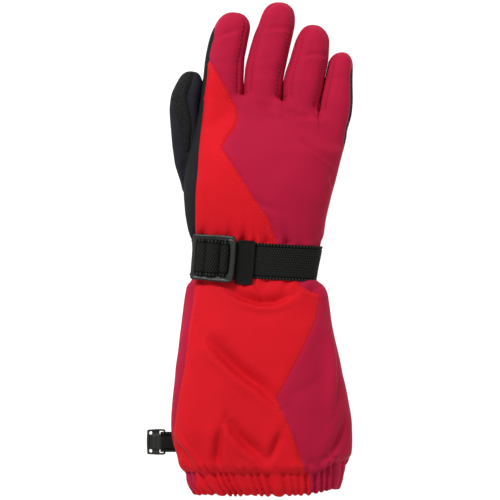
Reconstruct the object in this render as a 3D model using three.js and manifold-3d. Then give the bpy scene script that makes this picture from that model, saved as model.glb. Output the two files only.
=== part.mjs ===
// A right-hand ski glove lying palm down: padded hand and fingers, a strapped wrist and a long flared
// gauntlet cuff with an elastic hem. Millimetres, +Z up, +Y towards the fingertips, thumb at -X.
// The origin is the middle of the bounding box's underside.
import * as THREE from 'three';
import { mergeVertices } from 'three/addons/utils/BufferGeometryUtils.js';
import Module from 'manifold-3d';

const wasm = await Module();
wasm.setup();

// Driving dimensions
const shell = 2.2; // outer fabric with its wadding
const lining = 2.0; // fleece lining
const layerGap = 0.5; // air between shell and lining
const seamGap = 0.35; // air between two neighbouring panels
const gapTurn = 0.0025; // half of a seam's gap, as a share of the way round
const liningDepth = shell + layerGap;
const strapWidth = 25; // wrist webbing
const strapThickness = 1.8;
const tabWidth = 15; // webbing of the pair clip
const wristTop = 8.5; // where the hand starts, above the strap
const wristBottom = -25; // where the cuff starts, below the strap
const hemTop = -156;
const hemBottom = -173;
const bodyGap = 0.7; // air between two pieces that bend against each other
const roundTop = 2.4; // superellipse power of a section's upper half
const roundBottom = 3.4; // and of its lower half, which lies flatter
const widestShare = 0.42; // height of the widest level, as a share of the section's height
const flatten = 1.06; // the lower half is this much deeper before it is cut off flat

// Outlines: [y, left x, right x, height]
const trunk = {
  outline: [
    [-173, -36, 57, 40],
    [-166, -41.7, 62.4, 42],
    [-156, -44.5, 66, 43],
    [-147, -50.5, 68.5, 45],
    [-124, -54.9, 70.8, 48],
    [-104, -53.6, 68.4, 48],
    [-59, -48, 58, 45],
    [-27, -43.8, 50.5, 38],
    [-10, -41.8, 50.5, 36],
    [8.5, -41.6, 50.8, 36],
    [36, -46, 56.5, 40],
    [63, -43.5, 63.2, 40],
    [92, -37, 70.4, 34],
    [109, -32, 72, 30],
  ],
  tuck: [[36, 0], [50, 9], [85, 9], [100, 5], [112, 0]], // the hand is undercut on its left for the thumb
  floor: [[-42, 0], [-27, 3.2], [8.5, 3.2], [24, 0]], // the wrist is drawn in, which leaves room for the strap
};
const fingers = {
  index: {
    base: 105,
    outline: [[103, -33, -5.4, 25], [118, -30.8, -5.6, 25], [131, -29.5, -5.5, 24], [156, -23.8, -1.4, 22]],
    tipStart: 152,
    tip: 167.5,
  },
  middle: {
    base: 107,
    outline: [[103, -4.4, 21.5, 26], [118, -3.6, 21.8, 26], [131, -1.4, 23.3, 25], [157, 4.9, 30.1, 23]],
    tipStart: 160,
    tip: 174.5,
  },
  ring: {
    base: 101,
    outline: [[96, 22.6, 47.4, 25], [114, 24, 49.8, 25], [131, 27.3, 53.9, 24], [148, 32.2, 54.6, 22]],
    tipStart: 144,
    tip: 158.5,
  },
  little: {
    base: 92,
    outline: [[86, 48.6, 71, 22], [104, 48.8, 71.8, 22], [114, 51.2, 70.6, 21], [130, 55.6, 71, 19]],
    tipStart: 128,
    tip: 139,
  },
};
const thumb = {
  outline: [
    [47, -48, -46.4, 8],
    [52, -50, -45.2, 13],
    [63, -53.3, -42.4, 18],
    [82, -55, -38.6, 20],
    [98, -56, -36.8, 21],
    [110, -55, -35.4, 20],
  ],
  tipStart: 107,
  tip: 124.5,
};
const knuckleLine = [[-33.5, 104], [-5, 109], [22, 106], [48, 97], [70.5, 88]]; // [x, y]

// Seams: [y, x] on the back of the glove
const stripSeam = [[8.5, -38.5], [36, -38.5], [71, -36], [99, -33], [109, -31]];
const wedgeSeam = [[8.5, 17.4], [22, 12.3], [52, -7.4], [72.5, -19.3], [88, -9.5], [94, -8.5], [107, -13.3]];
const cuffLeftSeam = [[-156, -52], [-124, -53.4], [-78, -45.5], [-54, -42.4], [-25, -38.5]];
const cuffArrowSeam = [[-156, 39], [-137, 32.7], [-120, 26], [-103.5, 17.8], [-67, 38], [-46, 46], [-25, 46.5]];
const hemRedEnds = [-39, 41]; // x of the red hem's two ends

const colours = {
  crimson: 0xb21e40,
  red: 0xd8212d,
  black: 0x202024,
  navy: 0x26262c,
  leather: 0x1c1c1e,
  lining: 0x3a3a40,
  elastic: 0xe8e6e0,
  webbing: 0x1c1e1a,
  plastic: 0x323432,
  label: 0xe6e6e2,
};

const glove = new THREE.Group();

function addMesh(name, geometry, colour, roughness = 0.85) {
  const material = new THREE.MeshStandardMaterial({ color: colours[colour], roughness, metalness: 0 });
  const mesh = new THREE.Mesh(geometry, material);
  mesh.name = name;
  glove.add(mesh);
  return mesh;
}

// ---- Measures along a list of points ----

// The other columns of a table at one value of its first column, joined by straight lines.
function tableAt(table, key) {
  const last = table.length - 2;
  let row = table.findIndex((entry) => key < entry[0]) - 1;
  if (row === -2) row = last;
  row = Math.max(0, Math.min(last, row));
  const [low, high] = [table[row], table[row + 1]];
  const share = THREE.MathUtils.clamp((key - low[0]) / (high[0] - low[0]), 0, 1);
  return low.slice(1).map((value, i) => THREE.MathUtils.lerp(value, high[i + 1], share));
}

const rounded = (value, power) => Math.sign(value) * Math.abs(value) ** (2 / power);

// One point of a tube's skin. turn goes round the section: 0 left, 0.25 top, 0.5 right, 0.75 bottom.
// depth is measured inwards from the outer face. closing shrinks the section towards a fingertip.
function skinPoint(tube, turn, y, depth, closing = 1) {
  const [left, right, top] = tableAt(tube.outline, y);
  const base = tube.floor ? tableAt(tube.floor, y)[0] : 0;
  const height = top - base;
  const angle = turn * 2 * Math.PI;
  const isTop = Math.sin(angle) >= 0;
  const power = isTop ? roundTop : roundBottom;
  const widest = height * widestShare;
  const halfWidth = ((right - left) / 2 - depth) * closing;
  const straightX = (left + right) / 2 - halfWidth * rounded(Math.cos(angle), power);
  const up = (height - widest - depth) * closing * rounded(Math.sin(angle), power);
  const down = (widest - depth) * closing * flatten * rounded(Math.sin(angle), power);
  const floor = widest - (widest - depth) * closing;
  const z = isTop ? widest + up : Math.max(floor, widest + down);
  const tuck = tube.tuck ? tableAt(tube.tuck, y)[0] : 0;
  const leftShare = Math.max(0, rounded(Math.cos(angle), power));
  const x = straightX + tuck * leftShare * Math.max(0, 1 - z / widest);
  return new THREE.Vector3(x, y, base + z);
}

// The turn at which the upper skin of a tube passes over x.
function turnAbove(tube, x, y) {
  const [left, right] = tableAt(tube.outline, y);
  const across = THREE.MathUtils.clamp(((left + right) / 2 - x) / ((right - left) / 2), -1, 1);
  const cosine = Math.sign(across) * Math.abs(across) ** (roundTop / 2);
  return Math.acos(cosine) / (2 * Math.PI);
}

// ---- Closed solids from grids of points ----

function solidFrom(points, faces) {
  const geometry = new THREE.BufferGeometry();
  geometry.setAttribute('position', new THREE.Float32BufferAttribute(points.flatMap((p) => p.toArray()), 3));
  let volume = 0;
  for (const [a, b, c] of faces) {
    volume += points[a].dot(new THREE.Vector3().crossVectors(points[b], points[c]));
  }
  geometry.setIndex(volume < 0 ? faces.flatMap(([a, b, c]) => [a, c, b]) : faces.flat());
  geometry.computeVertexNormals();
  return geometry;
}

// A patch of skin with thickness. pointAt(across, along, face) gives a point; face is 0 outside, 1 inside.
function patch(pointAt, columns, rows) {
  const points = [];
  const faces = [];
  const rowList = Array.isArray(rows) ? rows : Array.from({ length: rows + 1 }, (_, j) => j / rows);
  const index = (i, j, face) => (j * (columns + 1) + i) * 2 + face;
  for (const along of rowList) {
    for (let i = 0; i <= columns; i += 1) {
      points.push(pointAt(i / columns, along, 0), pointAt(i / columns, along, 1));
    }
  }
  const quad = (a, b, c, d) => faces.push([a, b, c], [a, c, d]);
  const lastRow = rowList.length - 1;
  for (let j = 0; j < lastRow; j += 1) {
    for (let i = 0; i < columns; i += 1) {
      quad(index(i, j, 0), index(i + 1, j, 0), index(i + 1, j + 1, 0), index(i, j + 1, 0));
      quad(index(i, j, 1), index(i, j + 1, 1), index(i + 1, j + 1, 1), index(i + 1, j, 1));
    }
    quad(index(0, j, 0), index(0, j + 1, 0), index(0, j + 1, 1), index(0, j, 1));
    quad(index(columns, j, 0), index(columns, j, 1), index(columns, j + 1, 1), index(columns, j + 1, 0));
  }
  for (let i = 0; i < columns; i += 1) {
    quad(index(i, 0, 0), index(i, 0, 1), index(i + 1, 0, 1), index(i + 1, 0, 0));
    quad(index(i, lastRow, 0), index(i + 1, lastRow, 0), index(i + 1, lastRow, 1), index(i, lastRow, 1));
  }
  return solidFrom(points, faces);
}

// Rings joined one to the next. A looped stack is a pipe wall; otherwise each end is closed by a fan.
function stack(rings, looped) {
  const count = rings[0].length;
  const points = rings.flat();
  const faces = [];
  const joins = looped ? rings.length : rings.length - 1;
  for (let j = 0; j < joins; j += 1) {
    for (let i = 0; i < count; i += 1) {
      const here = j * count;
      const next = ((j + 1) % rings.length) * count;
      const right = (i + 1) % count;
      faces.push([here + i, here + right, next + right], [here + i, next + right, next + i]);
    }
  }
  if (!looped) {
    for (const [ring, reversed] of [[0, true], [rings.length - 1, false]]) {
      const centre = rings[ring].reduce((sum, p) => sum.add(p), new THREE.Vector3()).divideScalar(count);
      points.push(centre);
      for (let i = 0; i < count; i += 1) {
        const a = ring * count + i;
        const b = ring * count + ((i + 1) % count);
        faces.push(reversed ? [points.length - 1, b, a] : [points.length - 1, a, b]);
      }
    }
  }
  return solidFrom(points, faces);
}

// A closed ring of points; pointAt takes the turn.
function ringOf(count, pointAt) {
  return Array.from({ length: count }, (_, i) => pointAt(i / count));
}

// A pipe wall between two depths of a tube, through the listed levels.
function pipe(tube, levels, outerDepth, innerDepth, count) {
  const outer = levels.map((y) => ringOf(count, (turn) => skinPoint(tube, turn, y, outerDepth)));
  const inner = levels.map((y) => ringOf(count, (turn) => skinPoint(tube, turn, y, innerDepth)));
  return stack([...outer, ...inner.reverse()], true);
}

// ---- Cutting ----

function toManifold(mesh) {
  const bare = new THREE.BufferGeometry();
  mesh.updateMatrixWorld(true);
  bare.setAttribute('position', mesh.geometry.attributes.position.clone());
  if (mesh.geometry.index) bare.setIndex(mesh.geometry.index.clone());
  bare.applyMatrix4(mesh.matrix);
  const merged = mergeVertices(bare, 1e-4);
  return new wasm.Manifold(new wasm.Mesh({
    numProp: 3,
    vertProperties: new Float32Array(merged.attributes.position.array),
    triVerts: new Uint32Array(merged.index.array),
  }));
}

function cutFrom(mesh, cutter) {
  const result = toManifold(mesh).subtract(toManifold(cutter)).getMesh();
  const geometry = new THREE.BufferGeometry();
  geometry.setAttribute('position', new THREE.Float32BufferAttribute(result.vertProperties, 3));
  geometry.setIndex(Array.from(result.triVerts));
  geometry.computeVertexNormals();
  mesh.geometry = geometry;
  mesh.position.set(0, 0, 0);
  mesh.rotation.set(0, 0, 0);
}

// ---- The hand, from the strap to the knuckles ----

const knuckleAt = (x) => tableAt(knuckleLine, x)[0];
const handLevel = (x, share) => THREE.MathUtils.lerp(wristTop, knuckleAt(x) - bodyGap, share);

// A panel of the hand between two seams, each a function of y that gives a turn.
function handPanel(fromTurn, toTurn, columns) {
  const shares = [0, 0.15, 0.3, 0.44, 0.56, 0.65, 0.8, 0.88, 1];
  const passes = 6; // y depends on x and x on y, so both are found in a few passes
  return patch((across, share, face) => {
    let y = handLevel(0, share);
    let turn = 0;
    for (let pass = 0; pass < passes; pass += 1) {
      turn = THREE.MathUtils.lerp(fromTurn(y), toTurn(y), across);
      y = handLevel(skinPoint(trunk, turn, y, face * shell).x, share);
    }
    return skinPoint(trunk, turn, y, face * shell);
  }, columns, shares);
}

const stripLow = -0.06; // the turn where the black strip meets the palm
const palmEdge = (y) => (y > 78 ? 0.485 : 0.53); // the palm shows at the little finger's base
const onSeam = (tube, seam, side) => (y) => turnAbove(tube, tableAt(seam, y)[0], y) + side * gapTurn;
const toPalm = (y) => palmEdge(y) - gapTurn;
const fromPalm = (y) => palmEdge(y) + gapTurn;

addMesh('side_strip_black', handPanel(() => stripLow + gapTurn, onSeam(trunk, stripSeam, -1), 3), 'black');
addMesh('back_panel_red', handPanel(onSeam(trunk, stripSeam, 1), onSeam(trunk, wedgeSeam, -1), 4), 'red');
addMesh('back_panel_crimson', handPanel(onSeam(trunk, wedgeSeam, 1), toPalm, 8), 'crimson');
addMesh('palm_panel', handPanel(fromPalm, () => 1 + stripLow - gapTurn, 9), 'leather', 0.6);

function handLining() {
  const count = 20;
  const widestLevel = 92; // the lining's ends follow the knuckle line by x at this level
  const outerDepth = shell + 2.2;
  const shares = [0, 0.23, 0.46, 0.67, 0.88, 1];
  const ring = (share, depth) => ringOf(count, (turn) => {
    const y = handLevel(skinPoint(trunk, turn, widestLevel, depth).x, share);
    return skinPoint(trunk, turn, y, depth);
  });
  const outer = shares.map((share) => ring(share, outerDepth));
  const inner = shares.map((share) => ring(share, outerDepth + lining)).reverse();
  return stack([...outer, ...inner], true);
}

addMesh('hand_lining', handLining(), 'lining', 0.95);

// ---- Fingers ----

const straight = 0.7; // share of a finger's rows before the dome starts
const shellSweep = THREE.MathUtils.degToRad(82); // how far the dome closes; the rest is the tip seam
const liningSweep = THREE.MathUtils.degToRad(80);

// One point of a finger, with share 0 at its base and 1 at its tip; the last part closes as a dome.
function fingerPoint(finger, baseAt, turn, share, depth, sweep) {
  if (share <= straight) {
    const start = baseAt(skinPoint(finger, turn, finger.base, depth).x);
    const y = THREE.MathUtils.lerp(start, finger.tipStart, share / straight);
    return skinPoint(finger, turn, y, depth);
  }
  const angle = ((share - straight) / (1 - straight)) * sweep;
  const y = finger.tipStart + (finger.tip - depth - finger.tipStart) * Math.sin(angle);
  return skinPoint(finger, turn, y, depth, Math.cos(angle));
}

const fingerRows = [0, 0.35, straight, 0.8, 0.9, 1];

function fingerPanel(finger, fromTurn, toTurn, columns) {
  return patch((across, along, face) => {
    const turn = THREE.MathUtils.lerp(fromTurn, toTurn, across);
    return fingerPoint(finger, knuckleAt, turn, along, face * shell, shellSweep);
  }, columns, fingerRows);
}

// A cup that lines a finger: outer wall to the tip, inner wall back to the mouth.
function fingerCup(finger, count) {
  const baseAt = (x) => knuckleAt(x) + seamGap;
  const ring = (share, depth) => ringOf(count, (turn) => (
    fingerPoint(finger, baseAt, turn, share, depth, liningSweep)
  ));
  const outer = fingerRows.map((share) => ring(share, liningDepth)).reverse();
  const inner = fingerRows.map((share) => ring(share, liningDepth + lining));
  return stack([...outer, ...inner], false);
}

const wallFrom = -0.05; // the turns of a side wall's lower and upper seam, on the left side
const wallTo = 0.06;
for (const [name, finger] of Object.entries(fingers)) {
  const gap = gapTurn * 2;
  addMesh(`${name}_back`, fingerPanel(finger, wallTo + gap, 0.5 - wallTo - gap, 5), 'crimson');
  addMesh(`${name}_wall_right`, fingerPanel(finger, 0.5 - wallTo, 0.5 - wallFrom, 2), 'crimson');
  addMesh(`${name}_palm`, fingerPanel(finger, 0.5 - wallFrom + gap, 1 + wallFrom - gap, 5), 'leather', 0.6);
  addMesh(`${name}_wall_left`, fingerPanel(finger, wallFrom, wallTo, 2), 'crimson');
  addMesh(`${name}_lining`, fingerCup(finger, 12), 'lining', 0.95);
}

// ---- Thumb: a lobe along the hand's left edge, closed at both ends, open into the hand at its side ----

const thumbRows = [47, 52, 60, 72, 84, 96, 107];
const thumbTipShares = [0.35, 0.7, 0.95]; // shares of the quarter circle that rounds the tip

function thumbPoint(turn, row, depth) {
  if (row < thumbRows.length) return skinPoint(thumb, turn, thumbRows[row], depth);
  const angle = (thumbTipShares[row - thumbRows.length] * Math.PI) / 2;
  const y = thumb.tipStart + (thumb.tip - depth - thumb.tipStart) * Math.sin(angle);
  return skinPoint(thumb, turn, y, depth, Math.cos(angle));
}

function thumbPanel(fromTurn, toTurn, columns) {
  const rowCount = thumbRows.length + thumbTipShares.length;
  const rows = Array.from({ length: rowCount - 1 }, (_, i) => i + 1);
  return patch((across, row, face) => {
    const turn = THREE.MathUtils.lerp(fromTurn, toTurn, across);
    return thumbPoint(turn, row, face * shell);
  }, columns, rows);
}

function thumbCup() {
  const count = 12;
  const thickness = 1.2; // the thumb is narrow, so its lining is thinner
  const rows = [3, 4, 5, 6, 7, 8];
  const ring = (row, depth) => ringOf(count, (turn) => thumbPoint(turn, row, depth));
  const outer = rows.map((row) => ring(row, liningDepth)).reverse();
  const inner = rows.map((row) => ring(row, liningDepth + thickness));
  return stack([...outer, ...inner], false);
}

const thumbGap = 0.006; // a seam's gap on the thumb, as a turn
const patchTurns = [-0.12, 0.14]; // the grip patch wraps the thumb's outer side
const patchFrom = patchTurns[0] + thumbGap;
const patchTo = patchTurns[1] - thumbGap;
const thumbPalmTurns = [0.56, 0.88];
const thumbMeshes = [
  addMesh('thumb_back', thumbPanel(patchTurns[1], thumbPalmTurns[0], 5), 'navy'),
  addMesh('thumb_grip_patch', thumbPanel(patchFrom, patchTo, 3), 'leather', 0.6),
  addMesh('thumb_palm', thumbPanel(thumbPalmTurns[0] + thumbGap, thumbPalmTurns[1], 3), 'leather', 0.6),
  addMesh('thumb_lining', thumbCup(), 'lining', 0.95),
];

// The way from the hand into the thumb, cut through both side walls.
const passageSize = [26, 17, 9];
const passageMiddle = [-35, 83, 11];
const passage = new THREE.Mesh(new THREE.BoxGeometry(...passageSize));
passage.position.set(...passageMiddle);
const handSide = ['side_strip_black', 'palm_panel', 'hand_lining'].map((name) => glove.getObjectByName(name));
for (const mesh of [...thumbMeshes, ...handSide]) cutFrom(mesh, passage);

// ---- Wrist under the strap ----

const wristDepth = 1; // the gathered cloth lies this far inside the cuff's skin
const wristElasticDepth = wristDepth + shell + 0.7;
const wristLiningDepth = wristElasticDepth + 1.7;
const elasticThickness = 1;
const wristLevels = [wristBottom + seamGap, (wristTop + wristBottom) / 2, wristTop - bodyGap];
const wristElasticLevels = [-14, -4];

// A pipe wall of the trunk, given its outer depth and its thickness.
function trunkPipe(levels, depth, thickness, count = 24) {
  return pipe(trunk, levels, depth, depth + thickness, count);
}

addMesh('wrist_gather', trunkPipe(wristLevels, wristDepth, shell), 'crimson');
addMesh('wrist_elastic', trunkPipe(wristElasticLevels, wristElasticDepth, elasticThickness), 'elastic');
addMesh('wrist_lining', trunkPipe(wristLevels, wristLiningDepth, 1.6), 'lining', 0.95);

// ---- Cuff ----

const cuffLevels = [hemTop + seamGap, -147, -137, -122, -104, -84, -62, -45, wristBottom - seamGap];

function cuffPanel(fromTurn, toTurn, columns) {
  return patch((across, y, face) => {
    const turn = THREE.MathUtils.lerp(fromTurn(y), toTurn(y), across);
    return skinPoint(trunk, turn, y, face * shell);
  }, columns, cuffLevels);
}

const cuffUnder = 0.07; // the side panels reach this far round under the cuff, as a turn
const cuffLiningDepth = shell + 1.6;
const leftEnd = onSeam(trunk, cuffLeftSeam, -1);
const redStart = onSeam(trunk, cuffLeftSeam, 1);
const redEnd = onSeam(trunk, cuffArrowSeam, -1);
const rightStart = onSeam(trunk, cuffArrowSeam, 1);
const leftUnder = () => -cuffUnder + gapTurn;
const rightUnder = () => 0.5 + cuffUnder - gapTurn;
const fromRightUnder = () => 0.5 + cuffUnder + gapTurn;
const toLeftUnder = () => 1 - cuffUnder - gapTurn;
addMesh('cuff_left_crimson', cuffPanel(leftUnder, leftEnd, 3), 'crimson');
addMesh('cuff_front_red', cuffPanel(redStart, redEnd, 8), 'red');
addMesh('cuff_right_crimson', cuffPanel(rightStart, rightUnder, 5), 'crimson');
addMesh('cuff_palm_panel', cuffPanel(fromRightUnder, toLeftUnder, 9), 'crimson');
addMesh('cuff_lining', trunkPipe(cuffLevels, cuffLiningDepth, lining), 'lining', 0.95);

// ---- Hem: an outer channel in two colours, an elastic inside it and a facing behind ----

const hemShell = 1.2; // the hem is one thin layer of cloth, turned in
const hemElasticDepth = 3.2;
const hemFacingDepth = 4.9;
const hemBand = 0.9; // thickness of the elastic and of the facing
const hemMiddle = -166;
const hemLevels = [hemBottom, hemMiddle, hemTop - seamGap];
const hemElasticLevels = [hemBottom + 3, hemMiddle, hemTop - 3];
const hemCount = 28;

function hemPanel(fromTurn, toTurn, columns) {
  return patch((across, y, face) => {
    const turn = THREE.MathUtils.lerp(fromTurn(y), toTurn(y), across);
    return skinPoint(trunk, turn, y, face * hemShell);
  }, columns, hemLevels);
}

const hemRedFrom = (y) => turnAbove(trunk, hemRedEnds[0], y);
const hemRedTo = (y) => turnAbove(trunk, hemRedEnds[1], y);
const afterRed = (y) => hemRedTo(y) + gapTurn * 2;
const beforeRed = (y) => 1 + hemRedFrom(y) - gapTurn * 2;
addMesh('hem_channel_red', hemPanel(hemRedFrom, hemRedTo, 10), 'red');
addMesh('hem_channel_crimson', hemPanel(afterRed, beforeRed, 18), 'crimson');
addMesh('hem_elastic', trunkPipe(hemElasticLevels, hemElasticDepth, hemBand, hemCount), 'elastic');
addMesh('hem_facing', trunkPipe(hemLevels, hemFacingDepth, hemBand, hemCount), 'lining', 0.9);

const labelSize = [22, 14, 0.5];
const labelMiddle = [8, -140]; // x and y, on the floor of the mouth
const labelMesh = addMesh('care_label', new THREE.BoxGeometry(...labelSize), 'label', 0.7);
labelMesh.position.set(...labelMiddle, cuffLiningDepth + lining + 0.7);

// ---- Wrist strap ----

const strapLevel = -10; // the wrist's section at this level shapes the whole strap
const strapY = (x) => -8 - 0.055 * x; // the strap slopes a little towards the little finger
const webbingLift = 0.4; // air between the strap and the fabric
const anchorGap = 0.004; // between the anchor patch and each strap end, as a turn
const anchorTurns = [0.68, 0.86]; // the patch on the palm side that both strap ends are sewn to
const adjusterEnd = 1.03; // the turn at which the adjuster webbing leaves the wrist for the buckle
const plateLeft = -9.9; // x of the tab plate
const plateRight = 3;

// A band of webbing round the wrist between two turns.
function strapBand(fromTurn, toTurn, columns, width = strapWidth) {
  return patch((across, along, face) => {
    const turn = THREE.MathUtils.lerp(fromTurn, toTurn, across);
    const { x } = skinPoint(trunk, turn, strapLevel, 0);
    const lifted = skinPoint(trunk, turn, strapLevel, -webbingLift - (1 - face) * strapThickness);
    return new THREE.Vector3(lifted.x, strapY(x) + (along - 0.5) * width, lifted.z);
  }, columns, 1);
}

const afterPlate = turnAbove(trunk, plateRight + 2, strapLevel);
addMesh('wrist_webbing', strapBand(afterPlate, anchorTurns[0] - anchorGap, 16), 'webbing');
addMesh('adjuster_webbing', strapBand(anchorTurns[1] + anchorGap, adjusterEnd, 8), 'webbing');
addMesh('strap_anchor_patch', strapBand(...anchorTurns, 4, strapWidth + 5), 'black');

// ---- Strap hardware: a tab plate, a keeper loop and a ladder-lock buckle that tilts on the loop ----

const pivot = new THREE.Vector3(-17.8, -6.9, 39.5); // middle of the buckle's thin bar
const strapSlope = THREE.MathUtils.degToRad(-4.5);
const buckleTilt = THREE.MathUtils.degToRad(18); // the buckle leans down towards the thumb side
const hardware = new THREE.Group();
hardware.position.copy(pivot);
hardware.rotation.z = strapSlope;
glove.add(hardware);

function moveInto(group, mesh, position = [0, 0, 0]) {
  group.add(mesh);
  mesh.position.set(...position);
  return mesh;
}

// A ribbon of the given width across Y that follows points [x, z] with its thickness centred on them.
function ribbon(route, width, thickness) {
  const at = route.map(([x, z]) => new THREE.Vector2(x, z));
  const sides = at.map((point, i) => {
    const before = at[Math.max(0, i - 1)];
    const after = at[Math.min(at.length - 1, i + 1)];
    const along = after.clone().sub(before).normalize();
    return new THREE.Vector2(-along.y, along.x).multiplyScalar(thickness / 2);
  });
  const rows = at.map((_, i) => i);
  return patch((across, row, face) => {
    const side = sides[row].clone().multiplyScalar(face === 0 ? 1 : -1);
    const point = at[row].clone().add(side);
    return new THREE.Vector3(point.x, (across - 0.5) * width, point.y);
  }, 1, rows);
}

function arcRoute(x, z, radius, fromDegrees, toDegrees, steps) {
  return Array.from({ length: steps + 1 }, (_, i) => {
    const angle = THREE.MathUtils.degToRad(THREE.MathUtils.lerp(fromDegrees, toDegrees, i / steps));
    return [x + radius * Math.cos(angle), z + radius * Math.sin(angle)];
  });
}

// A flat plate with rectangular windows, each [left, bottom, right, top].
function slab(outline, holes, thickness) {
  const shape = new THREE.Shape(outline.map(([x, y]) => new THREE.Vector2(x, y)));
  const plain = new THREE.ExtrudeGeometry(shape, { depth: thickness, bevelEnabled: false });
  plain.translate(0, 0, -thickness / 2);
  const plate = new THREE.Mesh(plain);
  for (const [left, bottom, right, top] of holes) {
    const cutter = new THREE.Mesh(new THREE.BoxGeometry(right - left, top - bottom, thickness * 2));
    cutter.position.set((left + right) / 2, (bottom + top) / 2, 0);
    cutFrom(plate, cutter);
  }
  return plate.geometry;
}

// A rectangle whose corners are cut at 45 degrees.
function cutRectangle(left, bottom, right, top, cut) {
  return [
    [left + cut, bottom], [right - cut, bottom], [right, bottom + cut], [right, top - cut],
    [right - cut, top], [left + cut, top], [left, top - cut], [left, bottom + cut],
  ];
}

const buckleWidth = 32;
const slotHalf = strapWidth / 2 + 0.8;
const buckleLeft = -23.6; // x here is measured from the middle of the thin bar
const buckleRight = 7.2;
const leftBar = 2.2; // width of the left bar
const middleBar = [-14.6, -12.4]; // x of the middle bar's two edges
const thinBar = 0.7; // half of the thin bar's width
const dBarInner = 4.2; // x of the D-shaped bar's inner edge
const buckleThickness = 3;
const buckleCorner = 2.5;
const buckleOutline = cutRectangle(buckleLeft, -buckleWidth / 2, buckleRight, buckleWidth / 2, buckleCorner);
const buckleSlots = [
  [buckleLeft + leftBar, -slotHalf, middleBar[0], slotHalf],
  [middleBar[1], -slotHalf, -thinBar, slotHalf],
  [thinBar, -slotHalf, dBarInner, slotHalf],
];
const buckleGroup = new THREE.Group();
buckleGroup.rotation.y = -buckleTilt;
hardware.add(buckleGroup);
const buckleShape = slab(buckleOutline, buckleSlots, buckleThickness);
moveInto(buckleGroup, addMesh('ladder_lock_buckle', buckleShape, 'plastic', 0.45));

// The webbing rises through the left slot, passes over the middle bar and dives through the next slot.
const overBar = buckleThickness / 2 + 0.4 + strapThickness / 2;
const wovenRoute = [
  [-20, -0.6],
  [-18.6, 1.6],
  [-16.2, overBar],
  [-13.5, overBar + 0.2],
  [-10, overBar],
  [-6.6, 1.8],
  [-4.9, -0.6],
];
moveInto(buckleGroup, addMesh('buckle_webbing', ribbon(wovenRoute, strapWidth, strapThickness), 'webbing'));

const keeperThickness = 1;
const keeperRadius = 2.6; // of the loop round the thin bar
const keeperRoute = [
  [plateLeft - pivot.x - 0.4, -2.9],
  [3.4, -2.8],
  ...arcRoute(0, 0, keeperRadius, -70, -330, 8),
];
moveInto(hardware, addMesh('keeper_loop', ribbon(keeperRoute, strapWidth - 1, keeperThickness), 'webbing'));

const plateHeight = 31;
const plateThickness = 2.2;
const plateMiddleY = -1.4;
const plateRise = -1.7; // the plate's middle lies this far below the thin bar
const plateOutline = cutRectangle(
  plateLeft - pivot.x,
  plateMiddleY - plateHeight / 2,
  plateRight - pivot.x,
  plateMiddleY + plateHeight / 2,
  1.2,
);
const plateMesh = addMesh('strap_tab_plate', slab(plateOutline, [], plateThickness), 'plastic', 0.5);
moveInto(hardware, plateMesh, [0, 0, plateRise]);

// ---- Pair clip on its short webbing tab at the cuff's lower left ----

const clipBar = new THREE.Vector3(-60.2, -135.9, 3.4); // middle of the bar the clip swings on
const clipWidth = 17.8;
const clipLength = 12.4; // from the bar to the clip's free end
const clipThickness = 2.4;
const clipLoopRadius = 2.2;
const clipWebbing = 1.2;
const clipRoute = [
  [17, -clipLoopRadius],
  ...arcRoute(0, 0, clipLoopRadius, -90, -270, 8),
  [10.3, clipLoopRadius],
];
const clipTab = addMesh('clip_webbing_tab', ribbon(clipRoute, tabWidth, clipWebbing), 'webbing');
clipTab.position.copy(clipBar);
const clipSlotHalf = tabWidth / 2 + 0.3;
const clipPlateFrom = -3.4; // x of the solid plate's edge beside the slot
const clipBarHalf = 0.6;
const clipCorner = [-10.9, 3.2, -9.4, 6.6]; // one of the two small outer slots
const clipOutline = cutRectangle(-clipLength, -clipWidth / 2, clipBarHalf, clipWidth / 2, 1.2);
const clipHoles = [
  [clipPlateFrom, -clipSlotHalf, -clipBarHalf, clipSlotHalf],
  clipCorner,
  [clipCorner[0], -clipCorner[3], clipCorner[2], -clipCorner[1]],
];
const clip = addMesh('pair_clip', slab(clipOutline, clipHoles, clipThickness), 'plastic', 0.5);
clip.position.copy(clipBar);

// The origin is the middle of the underside of the box round everything.
const box = new THREE.Box3().setFromObject(glove);
glove.position.set(-(box.min.x + box.max.x) / 2, -(box.min.y + box.max.y) / 2, 0);

export default glove;
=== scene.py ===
"""A right-hand ski glove lying palm down: fabric shell, strap, buckle, cuff, hem and pair clip.

Modelling is in millimetres in the glove's drawing frame, whose X and Y are those of the wrist strap;
finish_piece turns millimetres into metres in the row frame.
"""

import math
from contextlib import contextmanager

import bmesh
import bpy
import numpy as np
from mathutils import Matrix, Vector
from mathutils.bvhtree import BVHTree


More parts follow.
